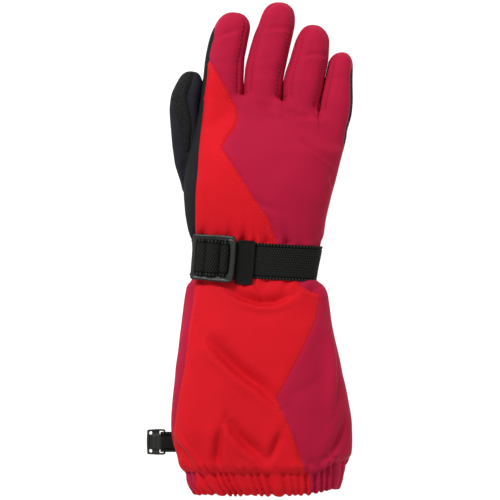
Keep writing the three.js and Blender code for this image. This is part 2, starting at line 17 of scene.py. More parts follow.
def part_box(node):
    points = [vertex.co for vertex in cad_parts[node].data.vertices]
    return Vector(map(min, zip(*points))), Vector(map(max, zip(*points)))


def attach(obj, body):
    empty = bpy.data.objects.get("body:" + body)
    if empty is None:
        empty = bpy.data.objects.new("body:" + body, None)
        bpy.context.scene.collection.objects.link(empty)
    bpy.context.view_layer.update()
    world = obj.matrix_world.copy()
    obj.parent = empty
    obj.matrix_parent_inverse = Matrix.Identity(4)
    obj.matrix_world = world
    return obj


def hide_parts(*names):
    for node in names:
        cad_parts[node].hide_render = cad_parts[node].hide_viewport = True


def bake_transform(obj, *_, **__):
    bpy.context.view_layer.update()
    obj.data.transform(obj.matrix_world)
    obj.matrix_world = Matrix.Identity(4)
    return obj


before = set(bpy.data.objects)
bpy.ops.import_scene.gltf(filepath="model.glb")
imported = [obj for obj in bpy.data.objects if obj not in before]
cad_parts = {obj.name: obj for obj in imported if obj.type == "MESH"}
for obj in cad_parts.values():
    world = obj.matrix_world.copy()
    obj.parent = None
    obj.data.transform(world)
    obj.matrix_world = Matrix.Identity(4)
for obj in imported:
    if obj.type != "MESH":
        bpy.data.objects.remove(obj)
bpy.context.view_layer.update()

# ---- The drawing frame, from the CAD box: the clip is its left end and the hem its lower end ----

CLIP_END_X = -72.6
HEM_Y = -173.0
clip_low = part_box("pair_clip")[0]
hem_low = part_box("hem_channel_red")[0]
SHIFT = Vector((clip_low[0] * 1000 - CLIP_END_X, hem_low[1] * 1000 - HEM_Y, 0))
MM = 0.001


def to_row(x, y, z):
    """A point of the drawing frame in the row frame, in metres."""
    return ((x + SHIFT.x) * MM, (y + SHIFT.y) * MM, z * MM)


# ---- Driving sizes ----

SHRINK = 0.3  # what smoothing takes off the skin, given back afterwards
CELL = 1.05  # size of the fabric mesh's faces
STRAP_WIDTH = 25.0
STRAP_THICKNESS = 1.8
STRAP_Y = -8.0  # y of the wrist strap's middle line at x = 0
STRAP_SLANT = 0.055  # how much it falls per millimetre to the right
HEM_TOP = -156.0
WRIST_SPLIT = -9.0  # the hand's and the cuff's fabric meet here, under the strap
ROUND_TOP = 2.4
ROUND_BOTTOM = 3.4
WIDEST_SHARE = 0.42
FLATTEN = 1.06

# Outlines: [y, left x, right x, height, floor]
TRUNK = [
    [-182, -39.5, 60, 38, 0],
    [-173, -39.8, 61, 38, 0],
    [-166, -43.2, 64.6, 41, 0],
    [-157, -45.5, 67.4, 42, 0],
    [-150, -48.6, 68.4, 44, 0],
    [-145, -51, 71, 45.5, 0],
    [-124, -55, 71.2, 48, 0],
    [-104, -53.6, 68.4, 48, 0],
    [-80, -51.3, 63.4, 47, 0],
    [-59, -48.6, 58.5, 45, 0],
    [-40, -46, 55.4, 41, 0],
    [-31, -44.6, 53.9, 39, 1.6],
    [-25, -43.4, 50.2, 37, 3],
    [-22, -40.2, 44.4, 35.2, 3.8],
    [-14, -38.4, 45.4, 35, 4],
    [-3, -38.2, 47.6, 35, 4],
    [4, -39, 48.8, 35, 3.8],
    [9, -41.8, 51, 36, 3],
    [18, -44, 52.5, 38, 1.4],
    [28, -45.6, 54.4, 39, 0],
    [40, -46.2, 57.5, 39.5, 0],
    [63, -43.6, 63.4, 38, 0],
    [84, -38.8, 69, 33, 0],
    [96, -36.3, 71.4, 28, 0],
    [110, -34, 72.3, 26, 0],
]
TUCK = [[36, 0], [50, 9], [85, 9], [100, 4], [110, 0]]  # undercut of the hand's left side, for the thumb
KNUCKLES = [[-33.5, 104], [-5, 108.5], [22, 106], [48, 97], [70.5, 88]]  # [x, y]
# dome: where the fingertip starts to round; inset: how far in the back panel's left and right seams lie
FINGERS = {
    "index": {
        "outline": [
            [80, -36.5, -5.9, 26], [103, -35, -5.9, 25.5], [118, -33.2, -5.6, 25], [131, -31.6, -4.9, 24],
            [141, -29.8, -2.8, 23], [150, -27.2, -1.4, 22], [158, -24.0, -0.3, 21], [166, -22.0, -0.6, 20],
        ],
        "dome": 153.5, "tip": 166.6, "inset": (1.9, 3.0),
    },
    "middle": {
        "outline": [
            [80, -3.2, 20.8, 27], [103, -3.2, 20.9, 26], [118, -3, 21.9, 26], [124, -2.6, 23.2, 25],
            [131, -1.6, 25.2, 25], [141, 0.4, 27.6, 24], [148, 2.8, 29.3, 23], [160, 7.2, 31.5, 22],
            [168, 9.2, 31.6, 21], [174, 9.6, 30.4, 20],
        ],
        "dome": 160.5, "tip": 173.6, "inset": (2.8, 1.6),
    },
    "ring": {
        "outline": [
            [76, 23.4, 46, 26], [96, 23.4, 46.6, 25], [114, 24.4, 50, 25], [124, 26, 52, 24.5],
            [131, 28, 53.9, 24], [146, 32.2, 55.6, 22], [152, 34.2, 54.8, 21], [158, 34.8, 53.6, 20],
        ],
        "dome": 144.5, "tip": 157.6, "inset": (3.8, 1.4),
    },
    "little": {
        "outline": [
            [66, 47, 61, 23], [78, 48, 66, 22.5], [88, 49, 69.4, 22], [96, 49.5, 71.4, 22],
            [103, 50.1, 72.2, 22], [114, 52.5, 72.0, 21], [125, 54.9, 71.9, 20], [131, 56, 72.0, 19],
            [139, 57, 71.4, 18],
        ],
        "dome": 127, "tip": 138.4, "inset": (2.0, 0.8),
    },
}
FINGER_NAMES = list(FINGERS)
FORK = 90  # y below which a finger keeps the edges that it has there
FINGER_BLUNT = 2.6  # 2 is a round fingertip, more is a squarer one
GAP_OPENS = [125, 120.7, 131]  # y up to which neighbouring fingers touch
TOUCHING = 0.3  # half the gap between them there
THUMB = [
    [40, -47.4, -38, 9, 2],
    [47, -49, -38, 13, 1],
    [54, -51.2, -37.5, 16, 0],
    [63, -53.6, -37, 18.5, 0],
    [82, -55.4, -36, 20.5, 0],
    [98, -56.4, -35.6, 21, 0],
    [107, -55.5, -34.8, 20.5, 0],
    [115, -52.8, -32.4, 19.5, 0],
    [124.6, -50.4, -32.6, 18, 0],
]
THUMB_DOME = 107.0
THUMB_TIP = 124.6

# Seams of the upper side: [y, x]
STRIP_SEAM = [
    [-12, -38.5], [8.5, -38.5], [36, -38.5], [71, -36], [99, -33], [119, -32], [133, -29.4],
    [140, -29.4],
]
WEDGE_SEAM = [
    [-12, 25], [8.4, 17.4], [22, 12.3], [32.7, 4.3], [52, -7.4], [70.5, -20], [87.5, -9.8],
    [92.4, -8.5], [97.3, -9.5], [106.4, -13], [119, -20.6], [132.8, -29.4], [140, -35],
]
CUFF_LEFT_SEAM = [
    [-160, -52], [-140, -54], [-124, -53], [-106, -50.5], [-78, -45.5], [-54, -42.4], [-41, -40.3],
    [-24, -38.5], [-8, -38],
]
CUFF_ARROW_SEAM = [
    [-160, 39.6], [-157, 39], [-137, 32.7], [-120, 26], [-103.5, 17.8], [-92.5, 24.5], [-67, 38],
    [-49, 46], [-32, 49], [-24, 33.5], [-8, 30],
]
HEM_RED = (-38.5, 41.5)  # x of the red hem's two ends


# ---- Curves through a few points ----

def smooth(table, keys):
    """Columns after the first of a table, at the given keys, by a cubic that never overshoots its points."""
    table = np.array(table, float)
    x, ys = table[:, 0], table[:, 1:]
    keys = np.clip(np.asarray(keys, float), x[0], x[-1])
    gaps = np.diff(x)[:, None]
    slopes = np.diff(ys, axis=0) / gaps
    tangents = np.zeros_like(ys)
    inner = slopes[:-1] * slopes[1:] > 0
    mean = 2 * slopes[:-1] * slopes[1:] / np.where(inner, slopes[:-1] + slopes[1:], 1)
    tangents[1:-1] = np.where(inner, mean, 0)
    tangents[0], tangents[-1] = slopes[0], slopes[-1]
    row = np.clip(np.searchsorted(x, keys, side="right") - 1, 0, len(x) - 2)
    h = (x[row + 1] - x[row])[..., None]
    t = ((keys - x[row]) / h[..., 0])[..., None]
    a = (1 + 2 * t) * (1 - t) ** 2 * ys[row] + t * (1 - t) ** 2 * h * tangents[row]
    return a + t * t * (3 - 2 * t) * ys[row + 1] + t * t * (t - 1) * h * tangents[row + 1]


def seam_line(table, rounding=1.6):
    """x as a function of y along a seam, with its corners rounded a little."""
    table = np.array(table, float)
    ys = np.arange(table[0, 0], table[-1, 0], 0.25)
    xs = np.interp(ys, table[:, 0], table[:, 1])
    reach = int(rounding * 12)
    weights = bell(np.arange(-reach, reach + 1) * 0.25, rounding)
    padded = np.pad(xs, reach, mode="edge")
    rounded = np.convolve(padded, weights / weights.sum(), mode="valid")
    return lambda y: np.interp(y, ys, rounded)


def ease(edge0, edge1, value):
    """0 before edge0 and 1 past edge1, with a soft step between them."""
    t = np.clip((value - edge0) / (edge1 - edge0), 0, 1)
    return t * t * (3 - 2 * t)


def bell(value, width):
    """1 at zero, falling off smoothly on both sides within about this width."""
    return np.exp(-((value / width) ** 2))


def strap_middle(x):
    """y of the wrist strap's middle line."""
    return STRAP_Y - STRAP_SLANT * x


def knuckle_y(x):
    points = np.array(KNUCKLES)
    return np.interp(x, points[:, 0], points[:, 1])


strip_x = seam_line(STRIP_SEAM)
wedge_x = seam_line(WEDGE_SEAM)
cuff_left_x = seam_line(CUFF_LEFT_SEAM)
cuff_arrow_x = seam_line(CUFF_ARROW_SEAM, rounding=1.0)


# ---- Tubes ----

def section(row, count, scale=1.0, inset=0.0, tuck=0.0):
    """A ring of points round a flattened section; row is left, right, height, floor."""
    left, right, height = row[:3]
    floor = row[3] if len(row) > 3 else 0.0
    deep = height - floor
    widest = deep * WIDEST_SHARE
    angle = np.linspace(0, 2 * np.pi, count, endpoint=False)
    c, s = np.cos(angle), np.sin(angle)
    top = s >= 0
    power = np.where(top, ROUND_TOP, ROUND_BOTTOM)
    across = np.sign(c) * np.abs(c) ** (2 / power)
    rise = np.abs(s) ** (2 / power)
    half = ((right - left) / 2 - inset) * scale
    up = widest + (deep - widest - inset) * scale * rise
    down = widest - (widest - inset) * scale * np.minimum(rise * FLATTEN, 1)
    z = np.where(top, up, down)
    x = (left + right) / 2 - half * across + tuck * np.maximum(0, across) * np.maximum(0, 1 - z / widest)
    return x, z + floor


def tube(outline, levels, count, dome=None, tip=None, tuck=False, end_scales=(), inset=0.0, blunt=2.0):
    """Closed tube: rings at the levels, then a dome from dome to tip, or shrinking end rings."""
    rings = []

    def add_ring(y, scale=1.0, tucked=0.0):
        x, z = section(smooth(outline, [y])[0], count, scale, inset, tucked)
        rings.append(np.column_stack([x, np.full(count, y), z]))

    for y in levels:
        add_ring(y, tucked=smooth(TUCK, [y])[0, 0] if tuck else 0.0)
    if tip is not None:
        for angle in np.radians(np.arange(6, 91, 6)):
            shrink = (1 - math.sin(angle) ** blunt) ** (1 / blunt)
            add_ring(dome + (tip - dome) * math.sin(angle), max(shrink, 0.02))
    for step, scale in end_scales:
        add_ring(levels[-1] + step, scale)
    faces = []
    for j in range(0, (len(rings) - 1) * count, count):
        for i in range(count):
            k = (i + 1) % count
            faces.append((j + i, j + k, j + count + k, j + count + i))
    faces.append(tuple(range(count))[::-1])
    faces.append(tuple(range((len(rings) - 1) * count, len(rings) * count)))
    return np.vstack(rings), faces


def new_object(name, verts, faces):
    mesh = bpy.data.meshes.new(name)
    mesh.from_pydata([tuple(v) for v in verts], [], [tuple(int(i) for i in f) for f in faces])
    mesh.update()
    obj = bpy.data.objects.new(name, mesh)
    bpy.context.collection.objects.link(obj)
    return obj


def joined(name, parts):
    verts, faces, start = [], [], 0
    for part_verts, part_faces in parts:
        verts.append(part_verts)
        faces += [tuple(i + start for i in face) for face in part_faces]
        start += len(part_verts)
    return new_object(name, np.vstack(verts), faces)


def remeshed(obj, cell):
    """The union of an object's closed tubes as one even skin."""
    modifier = obj.modifiers.new("skin", "REMESH")
    modifier.mode = "VOXEL"
    modifier.voxel_size = cell
    modifier.use_smooth_shade = True
    depsgraph = bpy.context.evaluated_depsgraph_get()
    mesh = bpy.data.meshes.new_from_object(obj.evaluated_get(depsgraph))
    old = obj.data
    obj.modifiers.clear()
    obj.data = mesh
    bpy.data.meshes.remove(old)
    return obj


def read(items, field, width=1, kind=float):
    """One field of every vertex, edge, face or corner, in rows of this width."""
    values = np.empty(len(items) * width, kind)
    items.foreach_get(field, values)
    return values.reshape(-1, width) if width > 1 else values


def coordinates(mesh):
    return read(mesh.vertices, "co", 3)


def set_coordinates(mesh, co):
    mesh.vertices.foreach_set("co", np.ascontiguousarray(co, dtype=np.float32).ravel())
    mesh.update()


def vertex_normals(mesh):
    return read(mesh.vertex_normals, "vector", 3)


def face_centres(mesh):
    return read(mesh.polygons, "center", 3)


@contextmanager
def edited(mesh):
    """Hands out a mesh for editing and writes it back."""
    bm = bmesh.new()
    bm.from_mesh(mesh)
    yield bm
    bm.to_mesh(mesh)
    bm.free()


def relax(mesh, rounds, share):
    """Moves each point towards the mean of its neighbours; share is one number or one per point."""
    a, b = read(mesh.edges, "vertices", 2, np.int64).T
    co = coordinates(mesh)
    count = len(co)
    degree = np.maximum(np.bincount(a, minlength=count) + np.bincount(b, minlength=count), 1)
    share = np.broadcast_to(np.asarray(share, float), (count,))[:, None]
    for _ in range(rounds):
        total = [np.bincount(a, axis[b], count) + np.bincount(b, axis[a], count) for axis in co.T]
        co = co + share * (np.column_stack(total) / degree[:, None] - co)
    set_coordinates(mesh, co)


# ---- The glove's skin: one mesh, cut along its seams, sculpted, then parted into panels ----

def knuckle_bend(x, y):
    """How far the end of the hand is drawn back from the longest knuckle, so that it follows their arc."""
    return (knuckle_y(x) - 109) * ease(62, 96, y)


def carried(x, old_y, new_y):
    """x moved so that it keeps its share of the hand's width where the hand's outline has another width."""
    old_left, old_right = smooth(TRUNK, old_y)[:, :2].T
    left, right = smooth(TRUNK, new_y)[:, :2].T
    return left + (x - old_left) * (right - left) / (old_right - old_left)


def close_gaps(co):
    """Draws neighbouring fingers' sides together up to the level where their gap opens."""
    y = np.maximum(co[:, 1], FORK)
    for number, opens in enumerate(GAP_OPENS):
        middle, half = gap_of(number, y)
        free = np.maximum(ease(opens, opens + 14, y), ease(-11, -19, knuckle_cut(co)))
        wanted = TOUCHING + (half - TOUCHING) * free
        away = co[:, 0] - middle
        pull = (half - wanted) * bell(np.abs(away) - half, 4.5)
        moved = np.where(np.abs(away) < half, away * wanted / half, away - np.sign(away) * pull)
        co[:, 0] = middle + moved
    return co


def make_skin(cell, inset=0.0):
    """The hand, cuff and fingers as one closed mesh; inset makes it smaller all round, for the lining."""
    levels = np.arange(-181, 101.6, 2.5)
    trunk_verts, trunk_faces = tube(TRUNK, levels, 160, tuck=True, inset=inset,
                                    end_scales=[(3, 0.97), (5.5, 0.9), (7, 0.8)])
    level = trunk_verts[:, 1].copy()
    trunk_verts[:, 1] += knuckle_bend(trunk_verts[:, 0], level)
    trunk_verts[:, 0] = carried(trunk_verts[:, 0], level, trunk_verts[:, 1])
    parts = [(trunk_verts, trunk_faces)]
    for finger in FINGERS.values():
        outline = finger["outline"]
        finger_levels = np.arange(outline[0][0], finger["dome"], 2.5)
        parts.append(tube(outline, finger_levels, 72, dome=finger["dome"], tip=finger["tip"] - inset,
                          inset=inset, blunt=FINGER_BLUNT))
    skin = remeshed(joined("skin", parts), cell)
    co = coordinates(skin.data)
    past = co[:, 1] - knuckle_y(co[:, 0])
    near_knuckles = bell(past + 4, 9)
    relax(skin.data, 5, 0.5)
    relax(skin.data, 30, 0.5 * near_knuckles)
    co = coordinates(skin.data) + vertex_normals(skin.data) * SHRINK
    set_coordinates(skin.data, co if inset else close_gaps(co))
    return skin


def cut_along(bm, measure, where=None):
    """Splits the faces that the zero line of measure crosses, so that the line runs along edges."""
    bm.verts.index_update()
    co = np.array([v.co[:] for v in bm.verts])
    value = measure(co)
    allowed = np.ones(len(co), bool) if where is None else where(co)
    nearest = {}
    crossing = []
    for edge in bm.edges:
        a, b = edge.verts
        i, j = a.index, b.index
        if value[i] * value[j] >= 0 or not (allowed[i] and allowed[j]):
            continue
        share = value[i] / (value[i] - value[j])
        crossing.append((edge, a, b))
        end, gap = (a, share) if share < 0.5 else (b, 1 - share)
        if gap < 0.28 and gap < nearest.get(end, (1, None))[0]:
            nearest[end] = (gap, a.co.lerp(b.co, share))
    on_line = {}  # used as a set that keeps its order, so that each run gives the same mesh
    for vert, (_, place) in nearest.items():
        vert.co = place
        value[vert.index] = 0
        on_line[vert] = True
    for edge, a, b in crossing:
        i, j = value[a.index], value[b.index]
        if i * j < 0:
            on_line[bmesh.utils.edge_split(edge, a, i / (i - j))[1]] = True
    for face in dict.fromkeys(face for vert in on_line for face in vert.link_faces):
        found = [vert for vert in face.verts if vert in on_line]
        if len(found) >= 2:
            a, b = found[0], found[-1] if len(found) == 2 else found[len(found) // 2]
            if not any(edge.other_vert(a) is b for edge in a.link_edges if edge in face.edges):
                try:
                    bmesh.utils.face_split(face, a, b)
                except ValueError:
                    pass
    bm.verts.index_update()


# ---- Where the seams run, as measures that are zero on the line ----

def finger_edges(name, y):
    """Left edge, right edge and height of a finger at y."""
    outline = smooth(FINGERS[name]["outline"], y)
    return outline[..., 0], outline[..., 1], outline[..., 2]


def gap_of(number, y):
    """Middle and half width of the gap between two neighbouring fingers."""
    left = finger_edges(FINGER_NAMES[number], y)[1]
    right = finger_edges(FINGER_NAMES[number + 1], y)[0]
    return (right + left) / 2, (right - left) / 2


def finger_of(co):
    """0 to 3, the finger that each point belongs to, parted halfway between neighbours."""
    y = np.maximum(co[:, 1], FORK)
    return sum((co[:, 0] > gap_of(number, y)[0]).astype(int) for number in range(3))


def finger_reach(name, co, above):
    """Distance in plan from the finger's edge, on its upper or lower side; negative past its widest level."""
    finger = FINGERS[name]
    left, right, height = finger_edges(name, co[:, 1])
    half = (right - left) / 2
    u = (co[:, 0] - (left + right) / 2) / half
    v = np.clip((co[:, 1] - finger["dome"]) / (finger["tip"] - finger["dome"]), 0, 1)
    reach = (1 - np.hypot(u, v)) * half
    beyond = co[:, 2] - height * WIDEST_SHARE
    if not above:
        beyond = -beyond
    return np.where(beyond > 0, np.maximum(reach, 0), beyond)


PALM_INSET = 2.4  # how far in the palm sides' seams lie
OUTER_WALLS = {"index": 0, "little": 1}  # walls with no finger beside them: 0 is the left one, 1 the right


def finger_seam(above):
    """Zero where the fingers' back panels (or palms) meet the side walls."""
    def measure(co):
        index = finger_of(co)
        result = np.ones(len(co))
        for number, (name, finger) in enumerate(FINGERS.items()):
            mine = index == number
            part = co[mine]
            left, right, _ = finger_edges(name, part[:, 1])
            left_half = part[:, 0] < (left + right) / 2
            insets = finger["inset"] if above else (PALM_INSET, PALM_INSET)
            inset = np.where(left_half, insets[0], insets[1])
            fade = ease(finger["dome"] - 4, finger["tip"], part[:, 1])
            inset = inset * (1 - 0.85 * fade) + 0.15
            if above and name in OUTER_WALLS:
                side = OUTER_WALLS[name]
                gone = ease(finger["dome"] - 6, finger["dome"] + 6, part[:, 1])
                outer = left_half if side == 0 else part[:, 0] > (left + right) / 2
                inset = np.where(outer, insets[side] * (1 - gone) - 0.8 * gone, inset)
            result[mine] = finger_reach(name, part, above) - inset
        return result
    return measure


def knuckle_cut(co):
    """Positive past the knuckles, where the fingers' own pieces begin."""
    return co[:, 1] - knuckle_y(co[:, 0]) - 0.6


def between_fingers(number):
    """Zero halfway between two neighbouring fingers."""
    return lambda co: co[:, 0] - gap_of(number, np.maximum(co[:, 1], FORK))[0]


def side_level(co):
    """Height of the seam where the back's or cuff's panels meet the palm's."""
    x, y = co[:, 0], co[:, 1]
    little_side = 10 + 5.5 * ease(20, 84, y)
    hand = np.where(x > 10, little_side, 10.5)
    left, right = smooth(TRUNK, y)[:, :2].T
    inner = 1 - ease(0.72, 0.88, np.abs(x - (left + right) / 2) / ((right - left) / 2))
    hand = hand + (3.5 - hand) * inner * ease(85, 92, y)
    return np.where(y < WRIST_SPLIT, 9.0, hand)


def palm_seam(co):
    return co[:, 2] - side_level(co)


def line_measure(line):
    """Zero on a seam line in plan."""
    return lambda co: co[:, 0] - line(co[:, 1])


def upper(low, high):
    """True for points of the upper side between two levels of y."""
    def where(co):
        return (co[:, 2] > side_level(co) - 3) & (co[:, 1] > low) & (co[:, 1] < high)
    return where


def hem_arc(co):
    """Length round the hem from its left edge over the top, for each point."""
    row = smooth(TRUNK, [-165])[0]
    ring_x, ring_z = section(row, 720)
    middle_x, middle_z = (row[0] + row[1]) / 2, row[2] * WIDEST_SHARE
    angle = np.unwrap(np.arctan2(ring_z - middle_z, middle_x - ring_x))
    length = np.concatenate([[0], np.cumsum(np.hypot(np.diff(ring_x), np.diff(ring_z)))])
    mine = np.arctan2(co[:, 2] - middle_z, middle_x - co[:, 0]) % (2 * np.pi)
    return np.interp(mine, angle - angle[0], length)


PLEAT = 5.9  # between two pleats of the hem
HEM_RISE = 8.0  # how much higher the hem is joined on at its right end
HEM_INSET = 1.2  # how far the hem lies inside the cuff above it
HEM_ROUND = 2.4  # how far up the hem's lower edge is rounded
SOLE = 0.05  # height of the lowest cloth above the floor


def hem_pleat(co):
    """Rounded ridges with sharp valleys, -0.6 to 0.4, leaning a little to the left as they rise."""
    s = hem_arc(co) + 0.28 * (co[:, 1] + 165)
    uneven = 2.1 * np.sin(s / 8.3 + 0.7) + 1.3 * np.sin(s / 3.7 + 2.0)
    strength = 0.8 + 0.3 * np.sin(s / 5.3 + 1.1) + 0.15 * np.sin(s / 2.9)
    return (np.abs(np.sin(np.pi * (s + uneven) / PLEAT)) ** 0.8 - 0.66) * strength


def hem_rise(co):
    """How far the hem's upper right end is drawn up towards the hand."""
    x, y, z = co.T
    return HEM_RISE * ease(44, 64, x) * ease(4, 18, z) * bell(y - HEM_TOP, 9.5)


def hem_slope(x):
    """How much further up the hem ends towards its right side."""
    return 2.6 * ease(32, 60, x)


def hem_end(co):
    return co[:, 1] + 172.4 + 1.5 * hem_pleat(co) - hem_slope(co[:, 0])


# ---- Sculpting: everything moves points along the skin's normals, in millimetres ----

def path_distance(co, path):
    """Distance in plan from each point to a path, its signed side (left positive) and its share along it."""
    path = np.array(path, float)
    lengths = np.hypot(*np.diff(path, axis=0).T)
    starts = np.concatenate([[0], np.cumsum(lengths)])
    best = np.full(len(co), 1e9)
    side = np.zeros(len(co))
    along = np.zeros(len(co))
    for a, b, length, start in zip(path, path[1:], lengths, starts):
        step = (b - a) / length
        rel = co[:, :2] - a
        t = np.clip(rel @ step, 0, length)
        gap = rel - t[:, None] * step
        distance = np.hypot(gap[:, 0], gap[:, 1])
        nearer = distance < best
        best = np.where(nearer, distance, best)
        cross = step[0] * rel[:, 1] - step[1] * rel[:, 0]
        side = np.where(nearer, np.sign(cross), side)
        along = np.where(nearer, (start + t) / starts[-1], along)
    return best, side, along


def fold(co, path, depth, above, below):
    """A valley along a path, dying out at both ends; above and below are its widths left and right of it."""
    distance, side, along = path_distance(co, path)
    signed = distance * side
    fade = np.sin(np.pi * np.clip(along, 0.03, 0.97)) ** 0.7
    valley = bell(signed, np.where(signed > 0, above, below))
    swell = bell(signed + 2.4 * below, 1.5 * below)
    return depth * fade * (0.3 * swell - valley)


# [path, depth, width above, width below] in plan on the upper side; a negative depth is a ridge
FOLDS = [
    [[(-32, -60), (-20, -74), (-7, -86), (7, -96), (22, -111)], 6.2, 6.5, 2.4],
    [[(-16, -28), (-6, -33.5), (6, -37), (17, -37), (31, -31.5)], 5.2, 4.2, 1.8],
    [[(3, -22), (7, -29), (11, -35)], 1.6, 3, 2],
    [[(-53, -125), (-45.2, -135), (-37.4, -145.3), (-28.7, -157.5)], -2.8, 1.3, 4.2],
    [[(-54, -133), (-46, -143), (-38, -154)], 3.0, 2.6, 3.5],
    [[(-16, -117), (-11, -127), (-3, -136), (6, -143), (13, -151)], 4.8, 5.5, 2.2],
    [[(-19, -122), (-21.6, -132), (-23, -144), (-22, -157)], 3.8, 2.8, 2.6],
    [[(22, -126), (18, -136), (14, -148)], 3.0, 2.8, 2.6],
    [[(31, -128), (34, -140), (36, -152)], 1.2, 3, 2],
    [[(28, -103), (40, -95), (52, -88)], 0.8, 3, 6],
    [[(67, -118), (63, -131), (55, -145)], 3.2, 3.0, 3.0],
    [[(56, -58), (57.5, -74), (58, -92), (57, -114)], -3.0, 1.6, 3.8],
    [[(38, -148), (48, -150.5), (57, -145)], 1.6, 4, 2],
    [[(33, -24.5), (41, -29), (50, -30.5)], 1.6, 3, 1.2],
    [[(-34, -27), (-38, -44), (-41, -66)], -1.0, 1.4, 4],
    [[(34, 79), (47, 69), (57, 61), (63, 55)], 2.0, 3.4, 1.8],
    [[(52, 62), (58, 52), (60, 40)], 1.2, 3, 3],
    [[(56, 50), (60, 44), (62, 38)], 1.0, 1.6, 1.6],
    [[(3, 103), (9, 99.5), (18, 97)], 1.5, 3, 1.6],
    [[(24, 97), (34, 93), (47, 91)], 1.7, 3, 1.8],
    [[(3, 36), (10, 30), (20, 25)], 1.3, 3, 2],
    [[(8, 152.6), (17, 154.4), (29, 154.0)], 0.9, 2.4, 1.1],
    [[(36, 134.6), (45, 136), (55, 135.6)], 0.9, 2.4, 1.1],
    [[(-25, 146), (-17, 150.5), (-6, 153.5)], 1.0, 2.6, 1.3],
    [[(0, 131), (12, 133), (23, 132)], 0.3, 2.6, 1.4],
    [[(-31, 128), (-20, 130), (-7, 129)], 0.3, 3, 1.6],
    [[(54, 118), (62, 119.5), (71, 118)], 0.4, 2.4, 1.4],
    [[(-9, 110), (-5, 108), (-1, 110)], 1.0, 1.2, 1.0],
    [[(-8, 106), (-5, 104), (-2, 106)], 0.8, 1.0, 0.9],
    [[(18, 108), (22, 105.4), (26, 107)], 1.0, 1.2, 1.0],
    [[(44, 97), (48, 93), (52, 94.6)], 1.0, 1.2, 1.0],
    [[(45.5, 92), (48.5, 90), (51.5, 91)], 0.8, 1.0, 0.9],
]


def fold_moves(co, normals):
    """What all folds of the upper side add up to."""
    move = np.zeros(len(co))
    for path, depth, above, below in FOLDS:
        move += fold(co, path, depth, above, below)
    return move * ease(0.12, 0.5, normals[:, 2])


def seam_relief(distance, depth=1.0):
    """A seam drawn into padded cloth, with the padding swelling a little beside it."""
    groove = -depth * bell(distance, 0.95)
    swell = 0.35 * depth * bell(np.abs(distance) - 4.5, 3.2)
    return groove + swell


def soft_waves(co):
    """Slow unevenness of padded cloth, about 1 either way."""
    x, y, z = co.T
    a = np.sin(x / 7.9 + 1.3 * np.sin(y / 17.0) + z / 9.0)
    b = np.sin(y / 11.3 + 1.7 * np.sin(x / 13.0 + 0.5) - z / 12.0)
    c = np.sin((x + y) / 6.1 + 2.0 + np.sin((x - y) / 9.7))
    return 0.5 * a * b + 0.35 * c * b + 0.15 * a


def gathers(co):
    """Pleats that the strap draws into the cloth at both of its edges, fading out away from it."""
    x, y, z = co.T
    from_strap = y - strap_middle(x)

    def beyond(distance):
        return np.exp(-np.maximum(distance - STRAP_WIDTH / 2, 0) / 5.0) * ease(9.5, 14.5, distance)

    phase = (x + 0.6 * z * np.sign(x - 4)) / 4.0
    wave = 1.7 * np.abs(np.sin(phase + 0.7 * np.sin(x / 11.0) + 0.4)) ** 0.8 - 1.1
    wave = wave * (0.85 + 0.35 * np.sin(x / 7.0 + 1.0)) + 0.3 * np.sin(phase * 3.1)
    return beyond(from_strap) * (3.4 * wave - 0.7) + beyond(-from_strap) * (2.0 * wave + 0.4)


def hem_moves(co):
    """The hem: cloth that billows above it, its pleats, its seam and its rounded lower edge."""
    x, y, z = co.T
    pleat = hem_pleat(co)
    in_hem = 1 - ease(-157.5, -155.2, y)
    move = bell(y + 150.5, 3.4) * (1.2 + soft_waves(co * 1.7)) - HEM_INSET * in_hem
    move += 3.4 * pleat * ease(-147, -158, y) * (0.4 + 0.6 * in_hem)
    tuck = hem_pleat(np.column_stack([x + 1.7, y, z]) * [1.6, 1, 1.6])
    move += 1.6 * tuck * bell(y + 152.5, 3.2)
    move -= (0.7 - 1.3 * pleat) * bell(y + 156.2, 1.3)
    rim = np.clip(HEM_ROUND - hem_end(co), 0, HEM_ROUND)
    return move - HEM_ROUND + np.sqrt(np.maximum(HEM_ROUND ** 2 - rim ** 2, 0))


def sculpt(mesh):
    """Moves the skin's points along its normals: seams, folds, gathers and hem; its flat sole moves least."""
    co = coordinates(mesh)
    normals = vertex_normals(mesh)
    y, z = co[:, 1], co[:, 2]
    move = 0.5 * soft_waves(co) * (1 - bell(y - STRAP_Y, 16)) + fold_moves(co, normals) + hem_moves(co)
    for distance, weight, depth in skin_seams(co, normals):
        move += weight * seam_relief(distance, depth)
    move += gathers(co) * ease(-0.2, 0.4, normals[:, 2])
    sole = ease(1.5, 0.2, z) * ease(-0.5, -0.9, normals[:, 2])
    rise = hem_rise(co) + 1.1 * hem_pleat(co) * bell(y - HEM_TOP, 5.0)
    co = co + normals * (move * (1 - 0.85 * sole))[:, None]
    co[:, 1] += rise
    co[:, 2] = np.maximum(co[:, 2], SOLE)
    set_coordinates(mesh, co)


